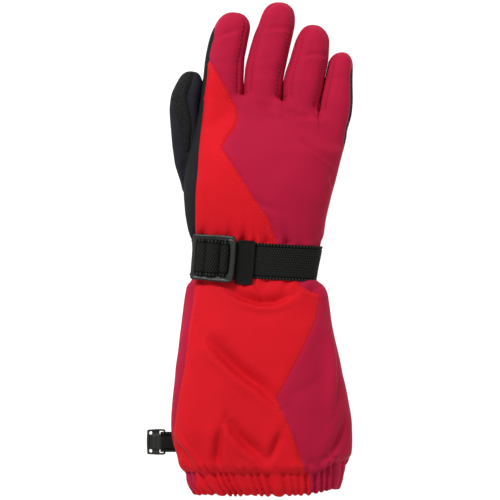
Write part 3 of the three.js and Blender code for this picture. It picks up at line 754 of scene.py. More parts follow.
def skin_seams(co, normals):
    """Distance, weight and depth of every seam on the outer skin."""
    x, y, _ = co.T
    upper_side = ease(0.0, 0.25, normals[:, 2])
    on_hand = ease(WRIST_SPLIT + 14, WRIST_SPLIT + 17, y)
    before_knuckles = ease(0, 1.5, -knuckle_cut(co))
    on_fingers = ease(-2, 3, knuckle_cut(co))
    on_cuff = ease(-156, -154, y) * ease(-22, -26, y)

    def across(line, steps=0.5):
        slope = (line(y + steps) - line(y - steps)) / (2 * steps)
        return (x - line(y)) / np.sqrt(1 + slope ** 2)

    on_index = (x < -6) & (y < 134)
    yield across(wedge_x), upper_side * on_hand * (on_index | (y < 108)), 0.75
    yield across(strip_x), upper_side * on_hand * before_knuckles, 0.8
    yield across(cuff_left_x), upper_side * on_cuff, 0.55
    yield across(cuff_arrow_x), upper_side * on_cuff, 0.45
    yield finger_seam(True)(co), ease(-0.1, 0.2, normals[:, 2]) * on_fingers, 0.8
    yield finger_seam(False)(co), ease(0.1, -0.2, normals[:, 2]) * on_fingers, 0.7
    side = np.abs(normals[:, 0]) > 0.3
    yield palm_seam(co), side * (on_hand * before_knuckles + on_cuff), 0.6


skin = make_skin(CELL)


def past_knuckles(co):
    return knuckle_cut(co) > -0.3


def cut_skin(mesh):
    """Cuts the skin along its seams and takes away what lies past the hem's edge."""
    with edited(mesh) as bm:
        cut_along(bm, hem_end, where=lambda co: co[:, 1] < -165)
        bm.faces.ensure_lookup_table()
        centres = np.array([face.calc_center_median()[:] for face in bm.faces])
        beyond = hem_end(centres) < 0
        bmesh.ops.delete(bm, geom=[face for face, gone in zip(bm.faces, beyond) if gone], context="FACES")
        for level in (WRIST_SPLIT, HEM_TOP):
            cut_along(bm, lambda co, level=level: co[:, 1] - level)
        cut_along(bm, knuckle_cut)
        cut_along(bm, palm_seam, where=lambda co: (knuckle_cut(co) < 0.3) & (co[:, 1] > HEM_TOP - 0.3))
        for number in range(3):
            cut_along(bm, between_fingers(number), where=past_knuckles)
        for above in (True, False):
            cut_along(bm, finger_seam(above), where=past_knuckles)
        hand_top = upper(WRIST_SPLIT - 0.3, 140)
        cut_along(bm, line_measure(wedge_x), where=hand_top)
        cut_along(bm, line_measure(strip_x), where=lambda co: hand_top(co) & (knuckle_cut(co) < 0.3))
        for line in (cuff_left_x, cuff_arrow_x):
            cut_along(bm, line_measure(line), where=upper(HEM_TOP - 0.3, WRIST_SPLIT + 0.3))
        for end in HEM_RED:
            cut_along(bm, lambda co, end=end: co[:, 0] - end, where=upper(-180, HEM_TOP + 0.3))


# Panels and what they are made of; a finger's parts are panels of their own
PANEL_LOOKS = {
    "cuff_front_red": "red_softshell",
    "cuff_left_crimson": "crimson_softshell",
    "cuff_right_crimson": "crimson_softshell",
    "cuff_palm_panel": "crimson_softshell",
    "hem_channel_red": "red_softshell",
    "hem_channel_crimson": "crimson_softshell",
    "side_strip_black": "black_softshell",
    "back_panel_red": "red_softshell",
    "back_panel_crimson": "crimson_softshell",
    "palm_panel": "palm_leather",
}
PART_LOOKS = {
    "back": "crimson_softshell",
    "wall_left": "crimson_softshell",
    "wall_right": "crimson_softshell",
    "palm": "palm_leather",
    "wedge": "red_softshell",
}
PANELS = list(PANEL_LOOKS)
FINGER_PARTS = list(PART_LOOKS)


def panel_of(centres):
    """The panel of each face: its place in PANELS, or 10 + 5 * finger + its place in FINGER_PARTS."""
    x, y, _ = centres.T
    above = palm_seam(centres) > 0
    past = knuckle_cut(centres) > 0
    hand = above & (y > WRIST_SPLIT) & ~past
    red = x < wedge_x(y)
    cuff = (y < WRIST_SPLIT) & (y > HEM_TOP)
    hem = y < HEM_TOP
    rules = [
        ("back_panel_crimson", hand),
        ("back_panel_red", hand & red),
        ("side_strip_black", hand & (x < strip_x(y))),
        ("cuff_palm_panel", cuff),
        ("cuff_front_red", cuff & above),
        ("cuff_left_crimson", cuff & above & (x < cuff_left_x(y))),
        ("cuff_right_crimson", cuff & above & (x > cuff_arrow_x(y))),
        ("hem_channel_crimson", hem),
        ("hem_channel_red", hem & above & (x > HEM_RED[0]) & (x < HEM_RED[1])),
    ]
    result = np.full(len(centres), PANELS.index("palm_panel"))
    for name, where in rules:
        result[where] = PANELS.index(name)
    index = finger_of(centres)
    right_half = np.zeros(len(centres), bool)
    for number, name in enumerate(FINGERS):
        left, right, _ = finger_edges(name, y)
        right_half |= (index == number) & (x >= (left + right) / 2)
    part = np.where(right_half, 2, 1)
    part[finger_seam(True)(centres) > 0] = 0
    part[finger_seam(False)(centres) > 0] = 3
    part[(part == 0) & (index == 0) & red] = 4
    result[past] = 10 + 5 * index[past] + part[past]
    return result


cut_skin(skin.data)
rest_centres = face_centres(skin.data)
sculpt(skin.data)


# ---- Materials ----

def linear(red, green, blue):
    """An sRGB colour of 0 to 255 as a linear colour."""
    parts = [c / 255 for c in (red, green, blue)]
    return [c / 12.92 if c <= 0.04045 else ((c + 0.055) / 1.055) ** 2.4 for c in parts] + [1.0]


def shade(colour, factor):
    return [min(1.0, c * factor) for c in colour[:3]] + [1.0]


class Surface:
    """A material in the making, with its object coordinates in millimetres."""

    def __init__(self, name, roughness, gloss, sheen=0.0, sheen_roughness=0.4):
        self.material = bpy.data.materials.new(name)
        self.material.use_nodes = True
        self.tree = self.material.node_tree
        self.inputs = self.tree.nodes["Principled BSDF"].inputs
        self.set("Roughness", roughness)
        self.set("Specular IOR Level", gloss)
        if sheen:
            self.set("Sheen Weight", sheen)
            self.set("Sheen Roughness", sheen_roughness)
        place = self.node("TexCoord").outputs["Object"]
        self.place = self.node("VectorMath", operation="SCALE", in_0=place, in_Scale=1000.0).outputs[0]

    def put(self, socket, value):
        if isinstance(value, bpy.types.NodeSocket):
            self.tree.links.new(value, socket)
        else:
            socket.default_value = value

    def set(self, name, value):
        """Gives one of the shader's inputs a value or another node's output."""
        self.put(self.inputs[name], value)

    def node(self, kind, **settings):
        """Adds a shader node; settings name its inputs (by name or number) or its own properties."""
        made = self.tree.nodes.new("ShaderNode" + kind)
        for key, value in settings.items():
            if key.startswith("in_"):
                name = key[3:].replace("_", " ")
                self.put(made.inputs[int(name) if name.isdigit() else name], value)
            else:
                setattr(made, key, value)
        return made

    def maths(self, operation, a, b):
        return self.node("Math", operation=operation, in_0=a, in_1=b).outputs[0]

    def mixed(self, a, share_a, b, share_b):
        """The sum of two values, each times its share."""
        return self.maths("ADD", self.maths("MULTIPLY", a, share_a), self.maths("MULTIPLY", b, share_b))

    def noise(self, size, detail=3.0, rough=0.55):
        """Noise of about 0 to 1 whose blotches are this many millimetres across."""
        settings = {"in_Scale": 1 / size, "in_Detail": detail, "in_Roughness": rough}
        return self.node("TexNoise", in_Vector=self.place, **settings).outputs["Fac"]

    def ramp(self, value, low, high, colour, dark, light):
        """The colour from dark to light times itself as value goes from low to high."""
        made = self.node("ValToRGB", in_Fac=value)
        for element, position, factor in zip(made.color_ramp.elements, (low, high), (dark, light)):
            element.position = position
            element.color = shade(colour, factor)
        return made.outputs["Color"]

    def bump(self, height, depth):
        """Bumps the surface by a height of 0 to 1 that stands for this many millimetres."""
        self.set("Normal", self.node("Bump", in_Height=height, in_Distance=depth * MM).outputs[0])

    def twill(self, pitch):
        """Fine diagonal ribs crossed by the yarns, 0 to 1."""
        axes = self.node("SeparateXYZ", in_0=self.place).outputs
        across = self.maths("ADD", axes["X"], axes["Y"])
        along = self.maths("SUBTRACT", axes["Y"], axes["X"])
        ribs = self.maths("SINE", self.maths("MULTIPLY", across, 2 * math.pi / pitch), 0.0)
        yarns = self.maths("SINE", self.maths("MULTIPLY", along, 2 * math.pi / (pitch * 1.6)), 0.0)
        both = self.maths("ADD", ribs, self.maths("MULTIPLY", yarns, 0.45))
        return self.maths("ADD", self.maths("MULTIPLY", both, 0.34), 0.5)


def softshell(name, colour, sheen=0.05, gloss=0.12):
    """Matte softshell: very fine twill, small colour differences and a soft sheen."""
    cloth = Surface(name, 0.78, gloss, sheen, 0.45)
    cloth.set("Sheen Tint", shade(colour, 1.6))
    broad = cloth.noise(38.0, 2.0)
    fine = cloth.noise(1.7, 4.0, 0.7)
    cloth.set("Base Color", cloth.ramp(cloth.mixed(broad, 0.6, fine, 0.4), 0.34, 0.66, colour, 0.93, 1.06))
    cloth.bump(cloth.mixed(cloth.twill(0.62), 0.55, fine, 0.7), 0.10)
    cloth.set("Roughness", cloth.maths("ADD", cloth.maths("MULTIPLY", fine, 0.16), 0.7))
    return cloth.material


def leather(name, colour, pebble=1.5, depth=0.22, wear=1.5, gloss=0.3):
    """Synthetic leather: pebbled grain whose high spots are a little worn."""
    hide = Surface(name, 0.6, gloss)
    wobble = hide.node("TexNoise", in_Vector=hide.place, in_Scale=0.5).outputs["Color"]
    moved = hide.node("VectorMath", operation="ADD", in_0=hide.place, in_1=wobble).outputs[0]
    cells = hide.node("TexVoronoi", in_Vector=moved, in_Scale=1 / pebble, feature="F1")
    domes = hide.maths("SUBTRACT", 1.0, cells.outputs["Distance"])
    hide.set("Base Color", hide.ramp(domes, 0.35, 0.85, colour, 0.72, wear))
    creases = hide.maths("MULTIPLY", hide.noise(5.0, 5.0), 0.8)
    hide.bump(hide.maths("ADD", domes, creases), depth)
    hide.set("Roughness", hide.maths("SUBTRACT", 1.02, hide.maths("MULTIPLY", domes, 0.5)))
    return hide.material


def fleece(name, colour):
    """Brushed fleece: small soft clumps and a strong sheen."""
    pile = Surface(name, 0.95, 0.1, 0.6, 0.6)
    clumps = pile.noise(1.4, 6.0, 0.75)
    pile.set("Base Color", pile.ramp(clumps, 0.3, 0.7, colour, 0.6, 1.5))
    pile.bump(clumps, 0.7)
    return pile.material


def woven(name, colour):
    """Webbing: its weave is in the mesh, and its colour follows the weave's height: a painted highlight on
    the yarns' high spots and painted shade in the gaps between them.
    """
    webbing = Surface(name, 0.75, 0.08, 0.03)
    fibres = webbing.noise(0.5, 4.0, 0.7)
    relief = webbing.node("Attribute", attribute_name="relief").outputs["Fac"]
    # Painted light: the mesh's weave height (relief) paints yarn tops lighter as a highlight and the gaps
    # darker as shade.
    high = webbing.mixed(fibres, 0.3, relief, 0.85)
    webbing.set("Base Color", webbing.ramp(high, 0.5, 0.95, colour, 0.1, 4.2))
    webbing.bump(fibres, 0.08)
    return webbing.material


def yarn(name, colour):
    """Plain thread, elastic or ribbon: fine fibres and small colour differences."""
    thread = Surface(name, 0.6, 0.3, 0.1)
    thread.set("Base Color", thread.ramp(thread.noise(0.5, 4.0, 0.7), 0.3, 0.7, colour, 0.8, 1.15))
    thread.bump(thread.twill(0.9), 0.08)
    return thread.material


def moulded_plastic(name, colour, roughness=0.42, gloss=0.3):
    """Moulded acetal: fine satin texture, faint flow marks and convex edges painted lighter as a highlight.
    """
    plastic = Surface(name, roughness, gloss)
    broad = plastic.noise(9.0, 3.0)
    # Painted highlight: convex edges, found by pointiness, are painted up to half again lighter.
    pointiness = plastic.node("NewGeometry").outputs["Pointiness"]
    edges = plastic.ramp(pointiness, 0.5, 0.58, colour, 1.0, 1.5)
    flow = plastic.ramp(broad, 0.35, 0.65, colour, 0.85, 1.12)
    mix = plastic.node("Mix", data_type="RGBA", blend_type="LIGHTEN", in_Factor=1.0, in_6=flow, in_7=edges)
    plastic.set("Base Color", mix.outputs[2])
    plastic.bump(plastic.noise(0.35, 2.0), 0.035)
    plastic.set("Roughness", plastic.maths("ADD", plastic.maths("MULTIPLY", broad, 0.2), roughness - 0.1))
    return plastic.material


EXPOSURE = 0.78  # the cloth's colours are this much darker, because the light makes the floor white


def dyed(red, green, blue):
    return shade(linear(red, green, blue), EXPOSURE)


CRIMSON = dyed(181, 20, 58)
RED = dyed(215, 18, 32)
BLACK = dyed(37, 36, 39)
NAVY = dyed(36, 36, 43)
LEATHER = dyed(36, 36, 36)
FLEECE = dyed(40, 40, 44)
THREAD_CRIMSON = dyed(158, 18, 52)
THREAD_RED = dyed(214, 18, 26)
WEBBING = dyed(20, 21, 18)
PLATE = dyed(18, 18, 17)
PLASTIC = dyed(36, 38, 35)

LOOKS = {
    "crimson_softshell": softshell("crimson_softshell", CRIMSON),
    "red_softshell": softshell("red_softshell", RED),
    "black_softshell": softshell("black_softshell", BLACK, sheen=0.02, gloss=0.05),
    "navy_softshell": softshell("navy_softshell", NAVY, sheen=0.02, gloss=0.06),
    "palm_leather": leather("palm_leather", LEATHER),
    "grip_leather": leather("grip_leather", shade(LEATHER, 0.7), 0.9, 0.2, 1.4, 0.12),
    "fleece_lining": fleece("fleece_lining", FLEECE),
    "elastic": yarn("elastic", linear(214, 212, 206)),
    "webbing": woven("webbing", WEBBING),
    "black_plastic": moulded_plastic("black_plastic", PLASTIC),
    "plate_plastic": moulded_plastic("plate_plastic", PLATE, 0.6, 0.1),
    "label": yarn("label", linear(216, 216, 212)),
    "crimson_thread": yarn("crimson_thread", THREAD_CRIMSON),
    "red_thread": yarn("red_thread", THREAD_RED),
}
# Slot names for these looks instead of their own; the slot is only looked up, not given to a piece
SLOTS = {
    "crimson_thread": "crimson_softshell",
    "red_thread": "red_softshell",
    "plate_plastic": "black_plastic",
}


# ---- Pieces: made in millimetres in the drawing frame, shown in metres in the row frame ----

def finish_piece(obj, look, *nodes, slotted=True):
    """Puts a drawing-frame mesh in the row frame, with its look, and hides the CAD nodes it stands for; its
    slot is looked up but not given.
    """
    set_coordinates(obj.data, (coordinates(obj.data) + np.array(SHIFT)) * MM)
    obj.data.polygons.foreach_set("use_smooth", np.ones(len(obj.data.polygons), bool))
    obj.data.materials.clear()
    obj.data.materials.append(LOOKS[look])
    if slotted:
        SLOTS.get(look, look)
    if nodes:
        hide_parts(*nodes)
    return obj


def group_normals(mesh, groups):
    """For each group of faces, the vertex normals of that group alone: {group: (points, 3)}."""
    corners = read(mesh.loops, "vertex_index", kind=np.int64)
    face_of_corner = np.repeat(np.arange(len(groups)), read(mesh.polygons, "loop_total", kind=np.int64))
    weighted = read(mesh.polygons, "normal", 3) * read(mesh.polygons, "area")[:, None]
    result = {}
    for group in np.unique(groups):
        chosen = groups[face_of_corner] == group
        sums = weighted[face_of_corner[chosen]].T
        total = np.column_stack([np.bincount(corners[chosen], axis, len(mesh.vertices)) for axis in sums])
        result[group] = total / np.maximum(np.linalg.norm(total, axis=1, keepdims=True), 1e-12)
    return result


FLOOR_GAP = 0.03  # how far the lowest cloth and thread stay above the floor


def layer_from(name, mesh, chosen, normals, thickness):
    """A closed layer of cloth whose outer side is some faces of a skin."""
    totals = read(mesh.polygons, "loop_total", kind=np.int64)
    starts = read(mesh.polygons, "loop_start", kind=np.int64)
    corners = read(mesh.loops, "vertex_index", kind=np.int64)
    loops = [corners[starts[f]:starts[f] + totals[f]] for f in np.flatnonzero(chosen)]
    used = np.unique(np.concatenate(loops))
    count = len(used)
    new_index = np.full(len(mesh.vertices), -1)
    new_index[used] = np.arange(count)
    outside, up = coordinates(mesh)[used], normals[used]
    inside = outside - up * thickness
    inside[:, 2] = np.maximum(inside[:, 2], FLOOR_GAP)
    outer_faces = [tuple(new_index[loop]) for loop in loops]
    inner_faces = [tuple(v + count for v in face[::-1]) for face in outer_faces]
    edges = dict.fromkeys((a, b) for face in outer_faces for a, b in zip(face, face[1:] + face[:1]))
    rim = [(b, a, a + count, b + count) for a, b in edges if (b, a) not in edges]
    obj = new_object(name, np.vstack([outside, inside]), outer_faces + inner_faces + rim)
    shown = [up[list(face)] for face in outer_faces]
    hidden = [-up[[v - count for v in face]] for face in inner_faces]
    rim_normals = np.zeros((0, 3))
    if rim:
        b, a = np.array(rim)[:, :2].T
        facing = np.cross(outside[b] - outside[a], up[a])
        facing /= np.maximum(np.linalg.norm(facing, axis=1, keepdims=True), 1e-9)
        rim_normals = np.repeat(facing, 4, axis=0)
    obj.data.polygons.foreach_set("use_smooth", np.ones(len(obj.data.polygons), bool))
    obj.data.normals_split_custom_set(np.vstack(shown + hidden + [rim_normals]).tolist())
    return obj


# ---- Placing pieces: their transforms baked into their meshes; the bends are not used ----

WRIST_BEND = ((4, 4, 20), (4, 30, 20))
FINGER_BEND = 22.0
THUMB_BEND = ((-37, 52, 0), (-49, 72, 0))


def on_hand(obj):
    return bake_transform(obj, "cuff", "hand", start=to_row(*WRIST_BEND[0]), end=to_row(*WRIST_BEND[1]))


def on_finger(obj, name):
    """Bakes a finger's piece's placement into its mesh; the bend from its knuckle line is worked out but not
    used.
    """
    number = FINGER_NAMES.index(name)
    left, right = Vector(KNUCKLES[number]), Vector(KNUCKLES[number + 1])
    start = (left + right) / 2
    end = start + (right - left).normalized().orthogonal() * FINGER_BEND
    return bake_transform(obj)


def on_thumb(obj):
    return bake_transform(obj, "hand", "thumb", start=to_row(*THUMB_BEND[0]), end=to_row(*THUMB_BEND[1]))


# ---- The skin's panels ----

BLACK_WALLS = ["index_wall_left", "little_wall_right"]
# Panels that run on as one cloth, although they end at a body or at a seam of their own
ONE_CLOTH = [
    ["back_panel_red", "wedge"],
    ["back_panel_crimson", "back"],
    ["palm_panel", "palm"],
    ["cuff_front_red", "hem_channel_red"],
    ["cuff_left_crimson", "cuff_right_crimson", "cuff_palm_panel", "hem_channel_crimson"],
]
CLOTH = 1.1
WEB_SIZE = (3.0, 5.0, 5.5)
WEB_Y = 100  # y where the gap's middle is taken
WEB_AHEAD = 3.0  # how far a web lies past the knuckle line
WEB_HEIGHT = 10.0
# Cloth cut and sewn round the cuff and the hem: width and length of the cut, and its area, in millimetres
CUTS = {
    "cuff_front_red": (112, 151, 14000),
    "cuff_left_crimson": (34, 131, 3050),
    "cuff_right_crimson": (78, 151, 7700),
    "cuff_palm_panel": (124, 150, 16900),
    "hem_channel_red": (102, 18, 1800),
    "hem_channel_crimson": (190, 18, 3400),
}


def declare_cloth(name):
    """Reads the cut from CUTS of a panel that is a plain sheet gathered by the strap and the hem; a wadded
    panel has none. Nothing is done with it.
    """
    if name in CUTS:
        width, length, area = CUTS[name]


def cloth_of(code):
    """A number for the cloth that a panel is part of; all panels of one cloth share their normals."""
    name = PANELS[code] if code < 10 else FINGER_PARTS[(code - 10) % 5]
    for cloth, members in enumerate(ONE_CLOTH):
        if name in members:
            return cloth
    return len(ONE_CLOTH) + code


def make_panels(mesh):
    """Parts the skin into panels; where a body ends but the cloth goes on, the cloth's normals go on too."""
    panel = panel_of(rest_centres)
    codes = np.unique(panel)
    cloths = np.array([cloth_of(code) for code in range(codes.max() + 1)])[panel]
    normals = group_normals(mesh, cloths)
    for code in codes:
        chosen = panel == code
        finger = None
        if code < 10:
            name = PANELS[code]
            look = PANEL_LOOKS[name]
        else:
            finger, part = FINGER_NAMES[(code - 10) // 5], FINGER_PARTS[(code - 10) % 5]
            name = f"{finger}_{part}"
            look = "black_softshell" if name in BLACK_WALLS else PART_LOOKS[part]
        piece = layer_from(name + "_cloth", mesh, chosen, normals[cloth_of(code)], CLOTH)
        finish_piece(piece, look, *([] if name == "index_wedge" else [name]))
        declare_cloth(name)
        if finger:
            on_finger(piece, finger)
        elif name.startswith(("cuff", "hem")):
            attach(piece, "cuff")
        else:
            on_hand(piece)


make_panels(skin.data)


def make_webs():
    """The cloth at the bottom of each gap between two fingers."""
    for number in range(3):
        x = float(gap_of(number, WEB_Y)[0])
        web = new_object(f"finger_web_{number + 1}", [], [])
        with edited(web.data) as bm:
            bmesh.ops.create_uvsphere(bm, u_segments=16, v_segments=10, radius=1)
            bmesh.ops.scale(bm, vec=WEB_SIZE, verts=bm.verts)
            bmesh.ops.translate(bm, vec=(x, float(knuckle_y(x)) + WEB_AHEAD, WEB_HEIGHT), verts=bm.verts)
        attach(finish_piece(web, "crimson_softshell", slotted=False), "hand")


make_webs()


# ---- Lining: a smaller skin on a coarser mesh, cut at the knuckles like the outer one ----

LINING_INSET = 4.2
LINING_CELL = 2.2
LINING = 1.2
WRIST_TOP = 8.5
WRIST_BOTTOM = -25.0


def make_lining():
    inner = make_skin(LINING_CELL, LINING_INSET)
    mesh = inner.data
    with edited(mesh) as bm:
        for level in (HEM_TOP, WRIST_BOTTOM, WRIST_TOP):
            cut_along(bm, lambda co, level=level: co[:, 1] - level)
        cut_along(bm, knuckle_cut)
        for number in range(3):
            cut_along(bm, between_fingers(number), where=past_knuckles)
    centres = face_centres(mesh)
    normals = vertex_normals(mesh)
    co = coordinates(mesh)
    co = co + normals * np.minimum(fold_moves(co, normals), 0)[:, None]
    co[:, 1] += hem_rise(co)
    set_coordinates(mesh, co)
    y = centres[:, 1]
    past = knuckle_cut(centres) > 0
    fingers = finger_of(centres)

    def part(name, chosen):
        piece = layer_from(name + "_fleece", mesh, chosen, normals, LINING)
        return finish_piece(piece, "fleece_lining", name)

    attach(part("cuff_lining", (y > HEM_TOP) & (y < WRIST_BOTTOM)), "cuff")
    on_hand(part("wrist_lining", (y > WRIST_BOTTOM) & (y < WRIST_TOP)))
    on_hand(part("hand_lining", (y > WRIST_TOP) & ~past))
    for number, name in enumerate(FINGERS):
        on_finger(part(name + "_lining", past & (fingers == number)), name)
    bpy.data.objects.remove(inner)


make_lining()


# ---- Closed solids from two grids of points ----

def grid_solid(name, outer, inner, closed=False, relief=None):
    """A closed solid between two grids of points (rows, columns, 3); closed joins the last row to the first.
    relief, one number per grid point, is kept as an attribute of the mesh for its material."""
    rows, columns = outer.shape[:2]
    count = rows * columns
    verts = np.vstack([outer.reshape(-1, 3), inner.reshape(-1, 3)])
    faces = []
    for i in range(rows if closed else rows - 1):
        k = (i + 1) % rows
        for j in range(columns - 1):
            a, b, c, d = i * columns + j, k * columns + j, k * columns + j + 1, i * columns + j + 1
            faces.append((a, b, c, d))
            faces.append((d + count, c + count, b + count, a + count))
        low, high = i * columns, k * columns
        faces.append((low + count, high + count, high, low))
        low, high = low + columns - 1, high + columns - 1
        faces.append((low, high, high + count, low + count))
    if not closed:
        for j in range(columns - 1):
            a = (rows - 1) * columns + j
            faces.append((j + count, j, j + 1, j + 1 + count))
            faces.append((a, a + count, a + 1 + count, a + 1))
    obj = new_object(name, verts, faces)
    with edited(obj.data) as bm:
        bmesh.ops.recalc_face_normals(bm, faces=bm.faces)
    if relief is not None:
        attribute = obj.data.attributes.new("relief", "FLOAT", "POINT")
        attribute.data.foreach_set("value", np.tile(np.asarray(relief, np.float32).ravel(), 2))
    return obj


def ring(name, levels, outer_depth, inner_depth, count=320, pleated=0.0, flare=0.0):
    """A band of cloth or elastic inside the glove, following its section at the given levels; flare brings
    its open end out to the hem's edge."""
    def surface(depth):
        rows = []
        for y, row in zip(levels, smooth(TRUNK, levels)):
            x, z = section(row, count)
            inset = np.full(count, depth)
            if pleated:
                inset = inset - pleated * hem_pleat(np.column_stack([x, np.full(count, y), z]))
            inset = inset - flare * ease(-167, -170.6, y) * (1 + 1.4 * ease(5, 1, z))
            x, z = section(row, count, inset=inset)
            place = np.column_stack([x, np.full(count, y), z])
            place[:, 1] += hem_rise(place) + hem_slope(x) * ease(-163, -170.5, y)
            rows.append(place)
        return np.array(rows).transpose(1, 0, 2)
    return grid_solid(name, surface(outer_depth), surface(inner_depth), closed=True)


HEM_FOLLOWS = 1.3  # how deep the hem's pleats are in its facing and its elastic


def make_rings():
    """The hem's facing and elastic, and the gathered cloth and the elastic at the wrist."""
    bands = [
        (ring("hem_facing_cloth", np.linspace(-170.8, -157.2, 14), HEM_INSET + 4.6, HEM_INSET + 5.4,
              pleated=HEM_FOLLOWS, flare=1.8), "crimson_softshell", "hem_facing"),
        (ring("hem_elastic_band", np.linspace(-166.5, -159.5, 7), HEM_INSET + 3.4, HEM_INSET + 4.0,
              pleated=HEM_FOLLOWS), "elastic", "hem_elastic"),
        (ring("wrist_gather_cloth", np.linspace(-17, 1, 8), 1.4, 2.0, 200),
         "crimson_softshell", "wrist_gather"),
        (ring("wrist_elastic_band", np.linspace(-14, -4, 6), 2.3, 3.2, 200),
         "elastic", "wrist_elastic"),
    ]
    for band, look, node in bands:
        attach(finish_piece(band, look, node), "cuff")


make_rings()


# ---- Thumb: a tube of its own beside the hand ----

# Edges of the grip patch: [y, x]
GRIP_LEFT = [
    [64, -43.4], [67.5, -44.6], [70.5, -46], [86, -49.4], [95, -52.4], [102, -56.5], [130, -80],
]
GRIP_RIGHT = [
    [64, -42.4], [67.5, -42.2], [85, -40.4], [92, -41], [98, -42.6], [105, -44], [110, -43.4],
    [118, -40.6], [126, -38.6],
]
GRIP_LOW = 67.6
THUMB_SEAM = 7.0  # height of the seam between the thumb's back and its palm side
THUMB_BLUNT = 2.9
THUMB_CELL = 1.0
THUMB_LINING_START = 50
THUMB_LINING_INSET = 3.5
THUMB_PARTS = {
    "thumb_back": "navy_softshell",
    "thumb_grip_patch": "grip_leather",
    "thumb_palm": "palm_leather",
}
grip_left_x = seam_line(GRIP_LEFT)
grip_right_x = seam_line(GRIP_RIGHT)
THUMB_FOLDS = [
    [[(-48, 52), (-45.5, 60), (-44, 66)], 0.9, 2.4, 2.4],
    [[(-53, 76), (-50, 72), (-46, 70)], 0.6, 2.4, 1.6],
    [[(-41.4, 119), (-42.4, 110), (-41.6, 102), (-38.6, 92)], 1.2, 1.2, 1.8],
]


def grip_patch(co):
    """Positive inside the leather patch on the thumb, zero on its edge."""
    x, y = co[:, 0], co[:, 1]
    return np.minimum(np.minimum(x - grip_left_x(y), grip_right_x(y) - x), y - GRIP_LOW)


def thumb_seam(co):
    return co[:, 2] - THUMB_SEAM


def make_thumb():
    body = joined("thumb_skin", [tube(THUMB, np.arange(40, THUMB_DOME, 1.1), 100, dome=THUMB_DOME,
                                      tip=THUMB_TIP, blunt=THUMB_BLUNT)])
    mesh = remeshed(body, THUMB_CELL).data
    relax(mesh, 4, 0.5)
    with edited(mesh) as bm:
        cut_along(bm, thumb_seam)
        cut_along(bm, grip_patch, where=lambda co: co[:, 2] > THUMB_SEAM - 0.3)
    centres = face_centres(mesh)
    sculpt_thumb(mesh)
    group = np.where(thumb_seam(centres) < 0, 2, np.where(grip_patch(centres) > 0, 1, 0))
    cloth = group_normals(mesh, group)
    for number, (name, look) in enumerate(THUMB_PARTS.items()):
        piece = layer_from(name + "_cloth", mesh, group == number, cloth[number], CLOTH)
        on_thumb(finish_piece(piece, look, name))
    bpy.data.objects.remove(body)


def sculpt_thumb(mesh):
    """Moves the thumb's points along its normals: waves, folds and seams."""
    co, normals = coordinates(mesh), vertex_normals(mesh)
    top = ease(0.1, 0.5, normals[:, 2])
    move = 0.4 * soft_waves(co * 1.3)
    for path, depth, above, below in THUMB_FOLDS:
        move += top * fold(co, path, depth, above, below)
    move += ease(0, 0.3, normals[:, 2]) * seam_relief(grip_patch(co), 0.7)
    move += seam_relief(thumb_seam(co), 0.6)
    co = co + normals * move[:, None]
    co[:, 2] = np.maximum(co[:, 2], 0.02)
    set_coordinates(mesh, co)


def make_thumb_lining():
    """A smaller tube in the thumb, open at the hand's end."""
    levels = np.arange(THUMB_LINING_START, THUMB_DOME, 2.5)
    inner = joined("thumb_lining_skin", [tube(THUMB, levels, 48, dome=THUMB_DOME,
                                              tip=THUMB_TIP - THUMB_LINING_INSET, inset=THUMB_LINING_INSET)])
    wall = face_centres(inner.data)[:, 1] > THUMB_LINING_START + 0.5
    piece = layer_from("thumb_lining_fleece", inner.data, wall, vertex_normals(inner.data), LINING)
    on_thumb(finish_piece(piece, "fleece_lining", "thumb_lining"))
    bpy.data.objects.remove(inner)


make_thumb()
make_thumb_lining()


# ---- Webbing: its weave is in the mesh ----

def weave(u, v, width, rib=1.7, edge=2.2):
    """A webbing's face from 0 to 1, u along and v across: rows of slanted yarns, and loops at the edges."""
    from_edge = width / 2 - np.abs(v)
    row = np.floor(v / rib)
    slant = 0.5 * np.where(row % 2 == 0, 1, -1)
    yarns = np.abs(np.sin(np.pi * (u / rib + slant * v / rib + 0.5 * row)))
    rows = np.abs(np.sin(np.pi * v / rib))
    field = yarns ** 0.8 * (0.45 + 0.55 * rows ** 0.6)
    loops = np.abs(np.sin(np.pi * u / 2.2)) ** 1.2
    on_edge = 1 - ease(edge - 0.4, edge + 0.1, from_edge)
    groove = 1 - 0.9 * bell(from_edge - edge, 0.35)
    return (field * (1 - on_edge) + loops * on_edge) * groove


WEAVE_HEIGHT = 0.42  # from the gaps of the weave to its yarns' tops
WEAVE_MEAN = 0.6  # the level of the weave that lies at the webbing's stated thickness
WEAVE_STEP = 0.42  # size of the mesh that shows the weave


def resampled(points, step):
    """Points spaced evenly along a smooth curve through the given ones."""
    points = np.array(points, float)
    gaps = np.linalg.norm(np.diff(points, axis=0), axis=1)
    where = np.concatenate([[0], np.cumsum(gaps)])
    wanted = np.linspace(0, where[-1], max(2, int(where[-1] / step)))
    return smooth(np.column_stack([where, points]), wanted), wanted


def ribbon(name, route, width, thickness, place):
    """A webbing along a route of centre points, its width along Y, moved to its place."""
    centre, length = resampled(route, WEAVE_STEP)
    across = np.array([0.0, 1.0, 0.0])
    up = np.cross(np.gradient(centre, axis=0), across)
    up /= np.linalg.norm(up, axis=1, keepdims=True)
    v = np.linspace(-width / 2, width / 2, int(width / WEAVE_STEP) + 1)
    relief = weave(length[:, None], v[None, :], width)
    middle = centre[:, None, :] + v[None, :, None] * across
    half = up[:, None, :] * (thickness / 2 + WEAVE_HEIGHT * (relief[..., None] - WEAVE_MEAN))
    obj = grid_solid(name, middle + half, middle - half, relief=relief)
    obj.data.transform(place)
    return obj


STRAP_LIFT = 0.5
STRAP_LEVEL = -9.5  # y of the section that the strap's middle line follows
TURN_STEP = 0.0016
TURN_POINTS = 2880  # points of a section that a strap's turns are rounded to


